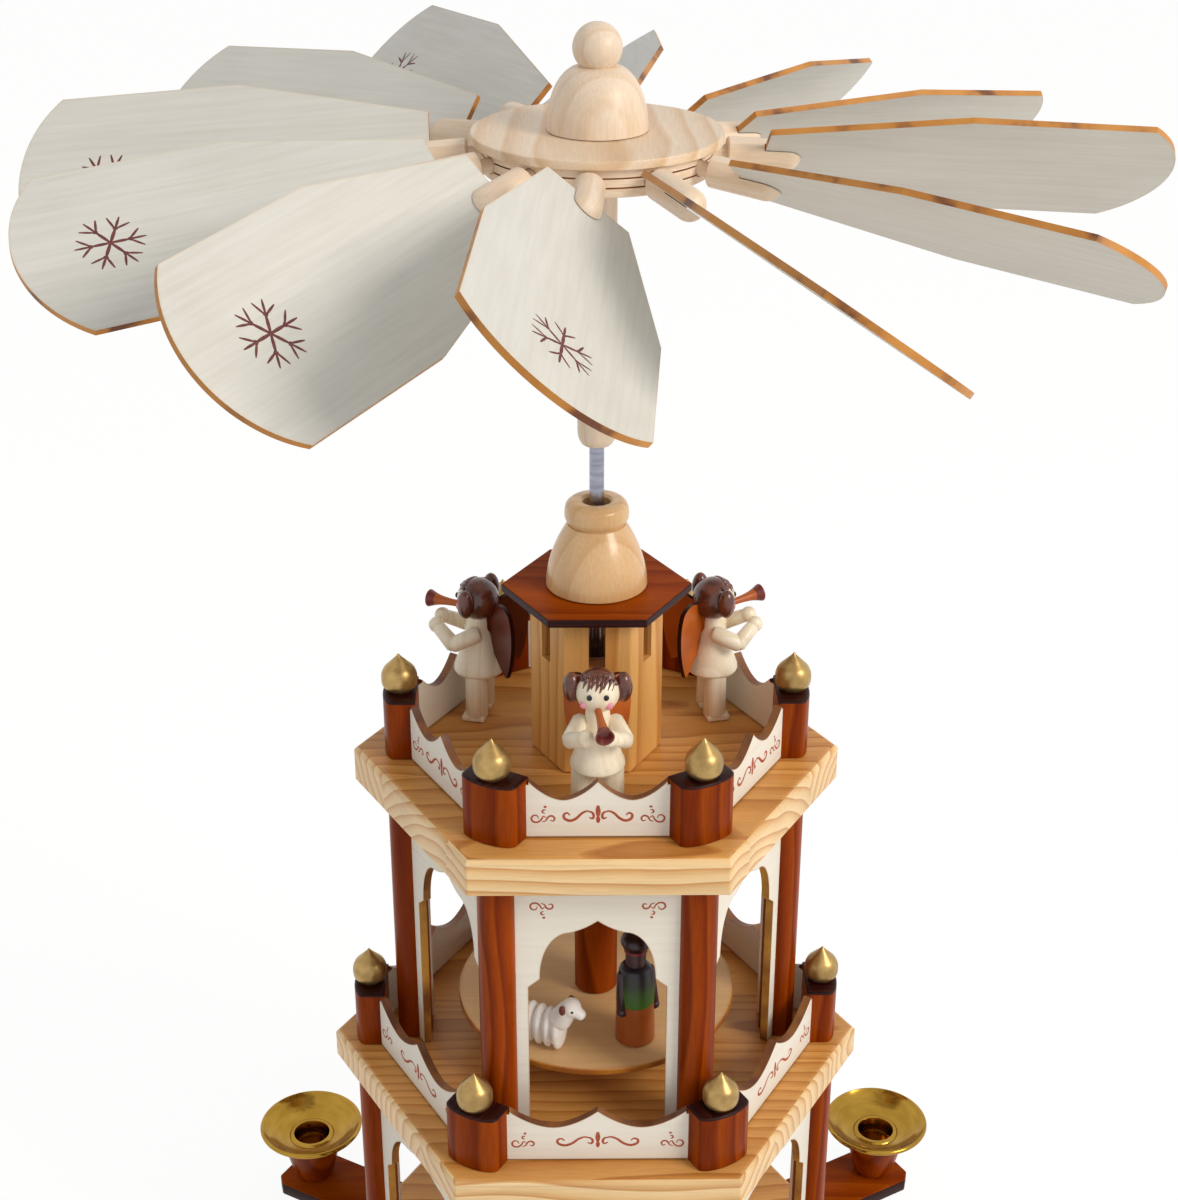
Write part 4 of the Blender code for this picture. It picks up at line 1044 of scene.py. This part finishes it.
# %% Arms
ARM_HALF, ARM_LENGTH, ARM_CLIP, CANDLE_RING = 13.5 * MM, 154 * MM, 4 * MM, 142.5 * MM
outline = []
for face in FACES:
    corner = ARM_HALF / sin(FACE_TURN) * APOTHEM
    for x, y in (
        (corner, -ARM_HALF), (ARM_LENGTH - ARM_CLIP, -ARM_HALF), (ARM_LENGTH, -ARM_HALF + ARM_CLIP),
        (ARM_LENGTH, ARM_HALF - ARM_CLIP), (ARM_LENGTH - ARM_CLIP, ARM_HALF),
    ):
        outline.append((x * cos(face) - y * sin(face), x * sin(face) + y * cos(face)))
arms = settle(
    saw("arms", outline, ARM_THICK), Matrix.Translation((0, 0, ARM_THICK / 2)) @ Matrix.Rotation(pi / 2, 4, "X")
)
soften(outwards(arms), 0.6 * MM, 3)
coat(arms, stained, stained_rim)
second_coat(arms, lambda face: abs(face.normal.z) < 0.5)
remember_grain(arms)
finish_piece(arms, "stand", "stained_wood", "candle_arms")

# %% Cups and dishes
CUP_HEIGHT, CUP_TOP, CUP_FOOT = 20 * MM, 13.2 * MM, 7.8 * MM
SOCKET_RADIUS, SOCKET_WALL, SOCKET_DEPTH, DISH_SHEET = 8.8 * MM, 1.4 * MM, 13 * MM, 0.8 * MM
DISH_RADIUS, DISH_RISE, DISH_ROLL = 22 * MM, 5 * MM, 1.1 * MM
cup_top = ARM_THICK + CUP_HEIGHT
seat = cup_top + FIT + DISH_SHEET
side = flow([
    (CUP_FOOT, ARM_THICK + 0.6 * MM), (CUP_FOOT * 1.14, ARM_THICK + 3 * MM), (10.6 * MM, ARM_THICK + 10 * MM),
    (CUP_TOP - 0.3 * MM, cup_top - 0.6 * MM),
], 5)
bore = SOCKET_RADIUS + FIT
rings = [(CUP_FOOT, ARM_THICK - 1 * MM)] + side
rings += [(CUP_TOP - 0.7 * MM, cup_top), (bore, cup_top), (bore, seat - SOCKET_DEPTH - DISH_SHEET - FIT)]
cup = remember_grain(turn("cup", rings, 48))
coat(cup, stained_upright)

lip, rim = DISH_RADIUS - DISH_ROLL, seat + DISH_RISE
under = flow(
    [(SOCKET_RADIUS, seat - DISH_SHEET), (15 * MM, seat + 1.2 * MM), (lip - DISH_ROLL, rim - DISH_SHEET)], 4
)
rings = [(SOCKET_RADIUS, seat - SOCKET_DEPTH - DISH_SHEET)] + under
for i in range(13):
    swing = radians(-90 + 15 * i)
    rings.append((lip + DISH_ROLL * cos(swing), rim + DISH_ROLL * sin(swing)))
bowl = flow([
    (lip - DISH_ROLL, rim + 0.1 * MM), (15 * MM, seat + 2.0 * MM), (SOCKET_RADIUS + 0.9 * MM, seat + 0.1 * MM),
], 5)
rings += bowl
inner = SOCKET_RADIUS - SOCKET_WALL
rings += [(SOCKET_RADIUS + 0.3 * MM, seat + 0.7 * MM), (SOCKET_RADIUS - 0.4 * MM, seat + 0.9 * MM)]
rings += [(inner + 0.3 * MM, seat + 0.7 * MM), (inner, seat + 0.2 * MM), (inner, seat - SOCKET_DEPTH + 0.6 * MM)]
rings += [(inner - 0.6 * MM, seat - SOCKET_DEPTH), (0, seat - SOCKET_DEPTH)]
dish = remember_grain(turn("dish", rings, 72))
coat(dish, brass)
for k, face in enumerate(FACES):
    place = Matrix.Rotation(face, 4, "Z") @ Matrix.Translation((CANDLE_RING, 0, 0))
    finish_piece(copy_to(cup, f"cup_{k + 1}", place, k + 1), "stand", "stained_wood", "candle_arms")
    finish_piece(copy_to(dish, f"brass_dish_{k + 1}", place, k + 1), "stand", "brass", f"candle_dish_{k + 1}")
drop(cup, dish)

# %% [markdown]
# ## Shaft, turntables and hub
#
# Everything on the shaft turns together. The shaft's point stands in a brass cup on the base, a turntable turns
# in each tier under a long sleeve, and above the lantern a birch neck carries the hub. The hub is a ply block
# with a thin cover and a turned bell that ends in a ball.

# %% Shaft, cup, turntables and sleeves
low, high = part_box("pivot_cup")
rings = [(7 * MM, low.z), (7 * MM, high.z - 0.9 * MM), (6.6 * MM, high.z - 0.3 * MM), (5.9 * MM, high.z)]
rings += [(3.75 * MM, high.z), (3.75 * MM, high.z - 2 * MM), (1.9 * MM, high.z - 4 * MM)]
pivot = remember_grain(turn("pivot", rings + [(0, high.z - 4 * MM)], 40))
coat(pivot, brass)
finish_piece(pivot, "stand", "brass", "pivot_cup")

low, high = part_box("shaft")
rings = [(0.4 * MM, low.z), (SHAFT_RADIUS, low.z + 5 * MM), (SHAFT_RADIUS, high.z - 0.2 * MM)]
rod = turn("rod", rings + [(SHAFT_RADIUS - 0.2 * MM, high.z)], 32)
coat(rod, steel)
finish_piece(remember_grain(rod), "rotor", "steel", "shaft")


def turntable(tier):
    """A plywood disc whose rim is burnt by the saw, bored for the shaft."""
    low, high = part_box(tier + "_turntable")
    radius = high.x
    rings = [(radius - 2 * MM, low.z)] + chamfered(radius, low.z, high.z, 0.375 * MM)
    disc = turn(tier + "_disc", rings + [(radius - 2 * MM, high.z), (radius - 3 * MM, high.z)], 96)
    drill(disc, SHAFT_RADIUS + FIT, low.z - MM, high.z + MM)
    burnt = [1.0 if corner.co.xy.length > radius - 0.6 * MM else 0.0 for corner in disc.data.vertices]
    disc.data.attributes.new("scorch", "FLOAT", "POINT").data.foreach_set("value", burnt)
    coat(disc, table_ply, table_edge)
    second_coat(disc, lambda face: abs(face.normal.z) < 0.8 and face.center.xy.length > radius / 2)
    finish_piece(remember_grain(flat_faces(smooth(disc))), "rotor", "birch", tier + "_turntable")


def sleeve(tier):
    """A stained tube round the shaft."""
    low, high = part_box(tier + "_sleeve")
    rings = chamfered(SLEEVE_RADIUS, low.z, high.z, 0.5 * MM)
    tube = drill(turn(tier + "_tube", rings, 48), SHAFT_RADIUS + FIT, low.z - MM, high.z + MM)
    coat(tube, stained_upright)
    finish_piece(remember_grain(smooth(tube)), "rotor", "stained_wood", tier + "_sleeve")


for tier in ("lower", "upper"):
    turntable(tier)
    sleeve(tier)

# %% Neck, block, cover and cap
low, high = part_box("hub_neck")
NECK_RADIUS = 6.5 * MM
bore = SHAFT_RADIUS + FIT
foot = flow([
    (NECK_RADIUS * 0.55, low.z), (NECK_RADIUS * 0.78, low.z + 0.7 * MM), (NECK_RADIUS * 0.95, low.z + 2.8 * MM),
    (NECK_RADIUS, low.z + 5.2 * MM),
], 4)
rings = [(bore, low.z + 20 * MM), (bore, low.z)] + foot + [(NECK_RADIUS, high.z)]
neck = remember_grain(turn("neck", rings, 48))
coat(neck, birch)
finish_piece(neck, "rotor", "birch", "hub_neck")

HUB_RADIUS, BLADE_AXIS = 36.5 * MM, 477.5 * MM
TENON_RADIUS, TENON_DEPTH = 2.5 * MM, 8 * MM
REST = (  # each blade's pitch from flat, droop from level and swing from an even spacing, in degrees
    (40, 5.0, -2.5), (44, 8.0, -3.0), (30, 5.0, -3.5), (48, 5.0, 1.0), (42, 4.5, -1.5), (44, 2.5, -0.5),
    (34, 5.5, 2.0), (44, 9.0, 2.0), (39, 7.5, 5.5), (39, 3.5, 4.0), (32, 5.0, 0.5), (36, 5.0, -2.0),
)


def blade_place(index):
    """Where this blade's own axis starts at the hub's rim, and how it is turned."""
    pitch, droop, swing = REST[index]
    azimuth = radians(-91.5 + swing - 30 * index)
    rim = Vector((HUB_RADIUS * cos(azimuth), HUB_RADIUS * sin(azimuth), BLADE_AXIS))
    return Matrix.Translation(rim) @ Euler((-radians(pitch), radians(droop), azimuth)).to_matrix().to_4x4()


low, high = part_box("hub_block")
groove, notch = 0.35 * MM, 0.5 * MM
thick = high.z - low.z
rims = chamfered(HUB_RADIUS, low.z, high.z, groove)
rings = rims[:2]
glue_lines = [low.z + thick * share for share in (0.34, 0.67)]
for line in glue_lines:
    rings += [(HUB_RADIUS, line - notch / 2), (HUB_RADIUS - groove, line), (HUB_RADIUS, line + notch / 2)]
block = turn("block", rings + rims[2:], 96)
for k in range(len(REST)):
    hole = turn("hole", [(TENON_RADIUS + FIT, -TENON_DEPTH - FIT), (TENON_RADIUS + FIT, 10 * MM)], 20)
    cut(block, settle(hole, blade_place(k) @ Matrix.Rotation(pi / 2, 4, "Y")))
coat(block, birch_flat, fence_edge)


def in_notch(face):
    """Whether the face is a slope of a glue line on the rim."""
    near = any(abs(face.center.z - line) < notch / 2 for line in glue_lines)
    return near and 0.2 < abs(face.normal.z) < 0.95 and face.center.xy.length > HUB_RADIUS - groove


second_coat(block, in_notch)
finish_piece(remember_grain(flat_faces(smooth(block))), "rotor", "birch", "hub_block")

low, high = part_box("hub_cover")
COVER_RADIUS = 40 * MM
rings = [(COVER_RADIUS - 0.3 * MM, low.z), (COVER_RADIUS, low.z + 0.3 * MM), (COVER_RADIUS, high.z - 0.8 * MM)]
rings += [(COVER_RADIUS - 0.25 * MM, high.z - 0.25 * MM), (COVER_RADIUS - 0.8 * MM, high.z)]
rings.append((COVER_RADIUS - 3 * MM, high.z))
cover = remember_grain(flat_faces(turn("cover", rings, 96)))
coat(cover, birch_bold)
finish_piece(cover, "rotor", "birch", "hub_cover")

low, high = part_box("hub_cap")
CAP_RADIUS, CAP_HEIGHT, BALL_RADIUS = 16 * MM, 19.5 * MM, 7.8 * MM
waist = BALL_RADIUS * 0.7
rings = []
for i in range(19):
    swing = radians(5 * i)
    rings.append((waist + (CAP_RADIUS - waist) * cos(swing), low.z + CAP_HEIGHT * sin(swing)))
ball_middle = high.z - BALL_RADIUS
for i in range(1, 24):
    swing = pi - pi * i / 24
    if ball_middle + BALL_RADIUS * cos(swing) > rings[-1][1] + 0.1 * MM or len(rings) > 19:
        rings.append((BALL_RADIUS * sin(swing), ball_middle + BALL_RADIUS * cos(swing)))
cap = remember_grain(turn("cap", rings + [(0, high.z)], 64))
coat(cap, birch)
finish_piece(smooth(cap, 50), "rotor", "honey_wood", "hub_cap")

# %% [markdown]
# ## Blades
#
# Twelve thin boards catch the warm air. Each is glued into the slot of a birch holder with a round end, whose
# tenon turns in the hub, so every blade is set by hand and no two stand quite alike. A snowflake is branded on
# the upper face of each.

# %% Holder and blade
BLADE_ROOT, BLADE_NECK, BLADE_SIDE, BLADE_TIP = 16 * MM, 60 * MM, 56.9 * MM, 14 * MM
ROOT_HALF, BLADE_HALF, BLADE_THICK = 15.4 * MM, 30.7 * MM, 2 * MM
HOLDER_RADIUS, HOLDER_START, HOLDER_END = 5 * MM, 4.2 * MM, 28 * MM
rings = [(TENON_RADIUS - 0.3 * MM, -TENON_DEPTH), (TENON_RADIUS, 0.3 * MM - TENON_DEPTH)]
rings += [(TENON_RADIUS, HOLDER_START), (HOLDER_RADIUS - 0.5 * MM, HOLDER_START)]
rings.append((HOLDER_RADIUS, HOLDER_START + 0.5 * MM))
for i in range(10):
    swing = radians(9 * i)
    rings.append((HOLDER_RADIUS * cos(swing), HOLDER_END - HOLDER_RADIUS * (1 - sin(swing))))
holder = turn("holder", rings + [(0, HOLDER_END)], 36)
settle(holder, Matrix.Rotation(pi / 2, 4, "Y"))
slot_size = Matrix.Diagonal((HOLDER_END, 4 * HOLDER_RADIUS, BLADE_THICK + 2 * FIT, 1))
cut(holder, cube("slot", Matrix.Translation((BLADE_ROOT - FIT + HOLDER_END / 2, 0, 0)) @ slot_size))
remember_grain(smooth(holder))
coat(holder, birch_flat)

shoulder = BLADE_ROOT + BLADE_NECK
corner = shoulder + BLADE_SIDE
arc_radius = (BLADE_HALF**2 + BLADE_TIP**2) / (2 * BLADE_TIP)
centre = corner + BLADE_TIP - arc_radius
outline = [(BLADE_ROOT, ROOT_HALF), (BLADE_ROOT, -ROOT_HALF), (shoulder, -BLADE_HALF)]
for i in range(33):
    y = -BLADE_HALF + 2 * BLADE_HALF * i / 32
    outline.append((centre + (arc_radius**2 - y**2) ** 0.5, y))
blade = scorch(saw("blade", outline + [(shoulder, BLADE_HALF)], BLADE_THICK), 0.9 * MM, blade_ply, blade_edge)
settle(blade, Matrix.Rotation(-pi / 2, 4, "X"))
remember_grain(blade)

# %% Snowflake
arms_of_flake = []
for k in range(SIDES):
    swing = radians(60 * k)

    def along(distance, sideways=0.0, swing=swing):
        return (distance * cos(swing) - sideways * sin(swing), distance * sin(swing) + sideways * cos(swing))

    arms_of_flake.append(([along(-0.5), along(3), along(6.0)], 0.62))
    arms_of_flake.append(([along(5.6), along(8), along(10.6)], 0.48))
    arms_of_flake.append(([along(5.2), along(5.9), along(6.6)], 0.95))
    for side in (-1, 1):
        arms_of_flake.append(([along(5.6), along(7.4, side * 1.7), along(9.2, side * 3.4)], 0.46))
flake = print_of("flake", arms_of_flake, flake_brown)
settle(flake, Matrix.Translation((119 * MM, 0, BLADE_THICK / 2)) @ Matrix.Rotation(-pi / 2, 4, "X"))

# %% Setting the blades
for k in range(len(REST)):
    number, place = f"{k + 1:02d}", blade_place(k)
    body = f"blade_{number}_set"
    finish_piece(copy_to(holder, f"holder_{number}", place, k + 1), body, "birch", f"blade_holder_{number}")
    finish_piece(copy_to(blade, f"sail_{number}", place, k + 1), body, "pale_ply", f"blade_{number}")
    finish_piece(copy_to(flake, f"snowflake_{number}", place), body, "stained_wood", f"blade_{number}")
drop(holder, blade, flake)

# %% [markdown]
# ## Angels
#
# Three small turned angels blow trumpets on the top deck. They are doll-like figures: a ball for a head, a
# flared tunic, pegs for legs and two dots for eyes. Each part is modelled once, standing at the origin and
# facing -Y, in millimetres, and then copied to its place. No two trumpets point quite alike.


# %% Figure parts
def orb(name, place, radius, stretch=(1, 1, 1), material=None, detail=24):
    """A ball of the figure, in millimetres, stretched along its axes and given poles that point up."""
    ball = begin(
        bpy.ops.mesh.primitive_uv_sphere_add, name, segments=detail, ring_count=detail // 2, radius=radius * MM
    )
    settle(ball, Matrix.Translation(Vector(place) * MM) @ Matrix.Diagonal((*stretch, 1)))
    if material:
        coat(ball, material)
    return smooth(ball, 60)


def peg(name, start, end, start_radius, end_radius, material, sides=24):
    """A tapered peg with rounded ends between two points, in millimetres."""
    start, end = Vector(start) * MM, Vector(end) * MM
    run = end - start
    a, b, length = start_radius * MM, end_radius * MM, run.length
    rings = [(a * sin(radians(t)), -a * 0.6 * cos(radians(t))) for t in (20, 50, 90)]
    rings += [(b * sin(radians(t)), length + b * 0.6 * cos(radians(t))) for t in (90, 50, 20)]
    rod = turn(name, rings, sides)
    coat(rod, material)
    return settle(smooth(rod, 60), Matrix.Translation(start) @ run.to_track_quat("Z", "Y").to_matrix().to_4x4())


def gather(name, parts):
    """Joins parts of one finish to one piece."""
    select_only(*parts)
    if len(parts) > 1:
        bpy.ops.object.join()
    made = bpy.context.object
    made.name = name
    return remember_grain(made)


# %% Body, arms and legs
HEAD, HEAD_RADIUS = Vector((0, 0, 46.4)), 7.7
tunic = turn(
    "tunic",
    in_mm([(6.6, 17.8), (8.8, 17.9), (9.3, 18.8), (9.15, 20.2)] + flow(
        [(8.6, 21.5), (7.2, 25.5), (5.9, 29.4), (4.9, 32.8), (4.3, 35.2), (4.1, 38.4), (3.4, 40.9)], 4
    )),
    40,
)
coat(tunic, maple)
body_parts = [tunic]
for side in (-1, 1):
    body_parts.append(peg("leg", (side * 5.0, 0, 2.4), (side * 5.0, 0, 19), 4.1, 3.9, maple))
    shoe_size = Matrix.Diagonal((6.8 * MM, 8.3 * MM, 2.2 * MM, 1))
    shoe = cube("shoe", Matrix.Translation(Vector((side * 5.0, -0.75, 1.1)) * MM) @ shoe_size)
    coat(shoe, maple)
    body_parts.append(soften(shoe, 0.5 * MM, 3))
    shoulder, elbow, hand = (side * 5.6, 0.5, 34.5), (side * 9.2, -7.0, 31.5), (side * 4.0, -14.5, 36.3)
    body_parts.append(peg("upper_arm", shoulder, elbow, 3.1, 2.9, maple))
    body_parts.append(peg("forearm", elbow, hand, 2.9, 2.4, maple))
    body_parts.append(orb("hand", hand, 2.9, material=maple))
body_parts.append(orb("head", HEAD, HEAD_RADIUS - 0.2, material=maple, detail=40))
angel_body = gather("angel_body", body_parts)


# %% Hair and face
def on_head(turn_degrees, rise_degrees, radius=HEAD_RADIUS):
    """A place on the head, turned to the right of straight ahead and raised above the level, in degrees."""
    turn_round, rise = radians(turn_degrees), radians(rise_degrees)
    return HEAD + radius * Vector((sin(turn_round) * cos(rise), -cos(turn_round) * cos(rise), sin(rise)))


hair = orb("hair", HEAD, HEAD_RADIUS, material=hair_brown, detail=48)
select_only(hair)
bpy.ops.object.mode_set(mode="EDIT")
bpy.ops.mesh.select_all(action="SELECT")
bpy.ops.mesh.bisect(
    plane_co=Vector((0, -1.6, HEAD.z)) * MM, plane_no=Vector((0, -1.0, -0.1)).normalized(),
    clear_outer=True, use_fill=True,
)
bpy.ops.object.mode_set(mode="OBJECT")
hair_parts = [outwards(hair)]
for side in (-1, 1):
    hair_parts.append(orb("bun", (side * 8.6, 0.3, 47.5), 3.1, (0.95, 1, 1.75), hair_brown, 28))
for i in range(9):
    top_x, tip_x, tip_z = 1.35 * i - 4.8, 1.35 * i - 6.2, 3.6 - 0.5 * (i % 3)
    middle_x, middle_z = (top_x + tip_x) / 2 + 0.2, tip_z + 1.9
    top, middle, tip = (
        HEAD + Vector((x, -sqrt(max(7.4**2 - x * x - z * z, 0.0)), z))
        for x, z in ((top_x, sqrt(7.1**2 - top_x**2 - 1.5**2)), (middle_x, middle_z), (tip_x, tip_z))
    )
    hair_parts.append(peg("strand", top, middle, 0.75, 0.75, hair_brown, 12))
    hair_parts.append(peg("strand", middle, tip, 0.75, 0.2, hair_brown, 12))
angel_hair = gather("angel_hair", hair_parts)

eyes = [orb("eye", on_head(x, 6.5, 7.6), 0.95, (1, 0.55, 1.1), eye_black, 16) for x in (-21.5, 21.5)]
angel_eyes = gather("angel_eyes", eyes)
cheeks = [orb("cheek", on_head(x, -21, 7.35), 1.5, (1, 0.55, 1), cheek_pink, 20) for x in (-40, 32)]
angel_cheeks = gather("angel_cheeks", cheeks)

# %% Wings and trumpet
outline = [(-2, 30.8), (-2, 40.8)] + bezier((-2, 40.8), (2, 46.3), (9, 49.3), (13.5, 44.8), 12)
outline += bezier((13.5, 44.8), (16.5, 39.3), (16, 28.3), (11.5, 19.5), 12)
outline += bezier((11.5, 19.5), (8, 20.3), (4, 26.3), (-2, 30.8), 8)[:-1]
leaves = []
for swept in (radians(45), radians(135)):
    leaf = saw("wing", [(x * MM, z * MM) for x, z in outline], 1.6 * MM)
    coat(leaf, wing_orange, stained_rim)
    second_coat(leaf, lambda face: abs(face.normal.y) < 0.5)
    leaves.append(settle(leaf, Matrix.Translation((0, 4.6 * MM, 0)) @ Matrix.Rotation(swept, 4, "Z")))
angel_wings = gather("angel_wings", leaves)

mouth = Vector((0, -6.4, 42.4))
trumpet_rings = flow([(0.9, 0), (1.2, 0.8), (1.3, 5), (1.7, 9), (2.4, 11.8), (3.1, 13.7), (3.2, 14.2)], 4)
angel_trumpet = turn("angel_trumpet", in_mm(trumpet_rings + [(2.7, 14.2), (1.6, 12.2)]), 32)
coat(angel_trumpet, wing_orange, bell_red)
second_coat(angel_trumpet, lambda face: face.center.z > 11.0 * MM)
remember_grain(angel_trumpet)

# %% Three angels
fence_line = TOP_POSTS * APOTHEM
parts = (
    (angel_body, "body", "cream_wood"), (angel_hair, "hair", "cream_wood"), (angel_eyes, "eyes", "cream_wood"),
    (angel_cheeks, "cheeks", "cream_wood"), (angel_wings, "wings", "stained_wood"),
)
# Where each stands round the deck, which way its body and head face, how far behind the fence, and its bell's place
angels = (
    ("front", -90, -90, -90, 15.2, (2.2, -20.2, 39.8)),
    ("left", 150, 168, 150, 11.2, (0.3, -20.4, 41.8)),
    ("right", 30, 12, 30, 11.2, (0.3, -20.4, 43.4)),
)
for k, (where, azimuth, turned_to, looks_to, inset, bell) in enumerate(angels):
    spot = Matrix.Rotation(radians(azimuth), 4, "Z") @ Matrix.Translation((fence_line - inset * MM, 0, TOP_TOP + FIT))
    place = spot @ Matrix.Rotation(radians(turned_to - azimuth + 90), 4, "Z")
    head_place = spot @ Matrix.Rotation(radians(looks_to - azimuth + 90), 4, "Z")
    for part, word, slot in parts:
        on_the_head = word in ("hair", "eyes", "cheeks")
        twin = copy_to(part, f"{where}_angel_{word}", head_place if on_the_head else place, k + 1)
        # The left angel's wings take the darker copy of the wing stain: painted shade.
        if word == "wings" and where == "left":
            twin.data.materials[0] = wing_painted_shade
        finish_piece(twin, "stand", slot, "angel_" + where)
    aim = Matrix.Translation(mouth * MM) @ (Vector(bell) - mouth).to_track_quat("Z", "Y").to_matrix().to_4x4()
    twin = copy_to(angel_trumpet, f"{where}_angel_trumpet", head_place @ aim)
    finish_piece(twin, "stand", "stained_wood", "angel_" + where)
drop(angel_trumpet, *(part for part, word, slot in parts))

# %% [markdown]
# ## Sheep and shepherd
#
# The upper turntable carries a sheep and a shepherd. The sheep is split from a turned ring, as such animals are,
# and its fleece is five upright flutes that reach the ground. The shepherd is turned in one go and stained in bands.

# %% Sheep
sheep_parts = [
    orb("flute", (x, 0, 8.5), 2.3, (1.0, 2.2, 3.7), sheep_white, 32) for x in (-9.0, -5.3, -1.6, 2.1, 5.8)
]
sheep_parts.append(peg("throat", (6.2, 0, 13), (10, 0, 19), 4.4, 3.6, sheep_white))
sheep_parts.append(orb("head", (10.8, 0, 19.6), 3.7, material=sheep_white))
sheep_parts.append(peg("muzzle", (10.8, 0, 19.6), (15.2, 0, 17.4), 3.0, 1.9, sheep_white))
sheep_body = gather("sheep_body", sheep_parts)
apply_modifier(sheep_body, "REMESH", mode="VOXEL", voxel_size=0.35 * MM)
apply_modifier(sheep_body, "SMOOTH", factor=0.5, iterations=3)
smooth(sheep_body, 180)
remember_grain(sheep_body)
sheep_ears = gather(
    "sheep_ears", [orb("ear", (9.0, side * 3.6, 20.0), 1.9, (0.65, 0.6, 1.05), ear_brown, 20) for side in (-1, 1)]
)
sheep_eyes = gather(
    "sheep_eyes", [orb("eye", (12.6, side * 2.9, 20.0), 0.55, material=eye_black, detail=12) for side in (-1, 1)]
)


# %% Shepherd
def band(name, rings, material, sides=40):
    """One painted stretch of the turned shepherd, in millimetres."""
    made = turn(name, in_mm(rings), sides)
    coat(made, material)
    return gather(name, [made])


shepherd_robe = band("shepherd_robe", [(6.8, 0), (7.25, 0.5), (7.25, 3.5), (7.1, 10), (7.0, 16.6)], robe_brown)
coat_rings = [(6.95, 16.6)]
coat_rings += flow([(7.05, 17.0), (6.95, 20.5), (6.7, 24.5), (6.3, 28.2), (5.6, 31.0), (4.0, 32.3)], 4)
shepherd_coat = band("shepherd_coat", coat_rings, coat_green)
shepherd_head = band("shepherd_head", flow([(3.6, 32.2), (3.7, 34.0), (3.75, 36.5), (3.8, 38.0)], 4), skin_brown)
shepherd_band = band("shepherd_band", [(3.8, 38.0), (4.25, 38.1), (4.3, 38.6), (4.25, 39.2)], band_red)
hat_rings = [(4.2, 39.2)]
hat_rings += flow([(4.3, 39.3), (5.0, 40.6), (5.5, 42.0), (5.25, 43.3), (4.5, 44.4), (2.7, 45.8), (0.8, 46.4)], 4)
shepherd_hat = band("shepherd_hat", hat_rings + [(0, 46.5)], hat_black)
arm_parts = []
for side in (-1, 1):
    arm_parts.append(peg("arm", (side * 5.3, 0, 29), (side * 6.4, -2.4, 15.5), 2.0, 1.8, sleeve_dark, 20))
    arm_parts.append(orb("hand", (side * 6.4, -2.6, 14.5), 2.0, material=sleeve_dark, detail=20))
shepherd_arms = gather("shepherd_arms", arm_parts)

# %% Putting the figures on the turntable
stage_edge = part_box("upper_turntable")[1].x
stage_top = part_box("upper_turntable")[1].z + FIT
figures = (
    (-117, 10.5, "sheep", "white_wood", (sheep_body, sheep_ears, sheep_eyes)),
    (-67, 16.3, "shepherd", "green_wood",
     (shepherd_robe, shepherd_coat, shepherd_head, shepherd_band, shepherd_hat, shepherd_arms)),
)
for azimuth, inset, node, slot, pieces in figures:
    for piece in pieces:
        settle(piece, stand_at(radians(azimuth), stage_edge - inset * MM, stage_top))
        finish_piece(piece, "rotor", slot, node)
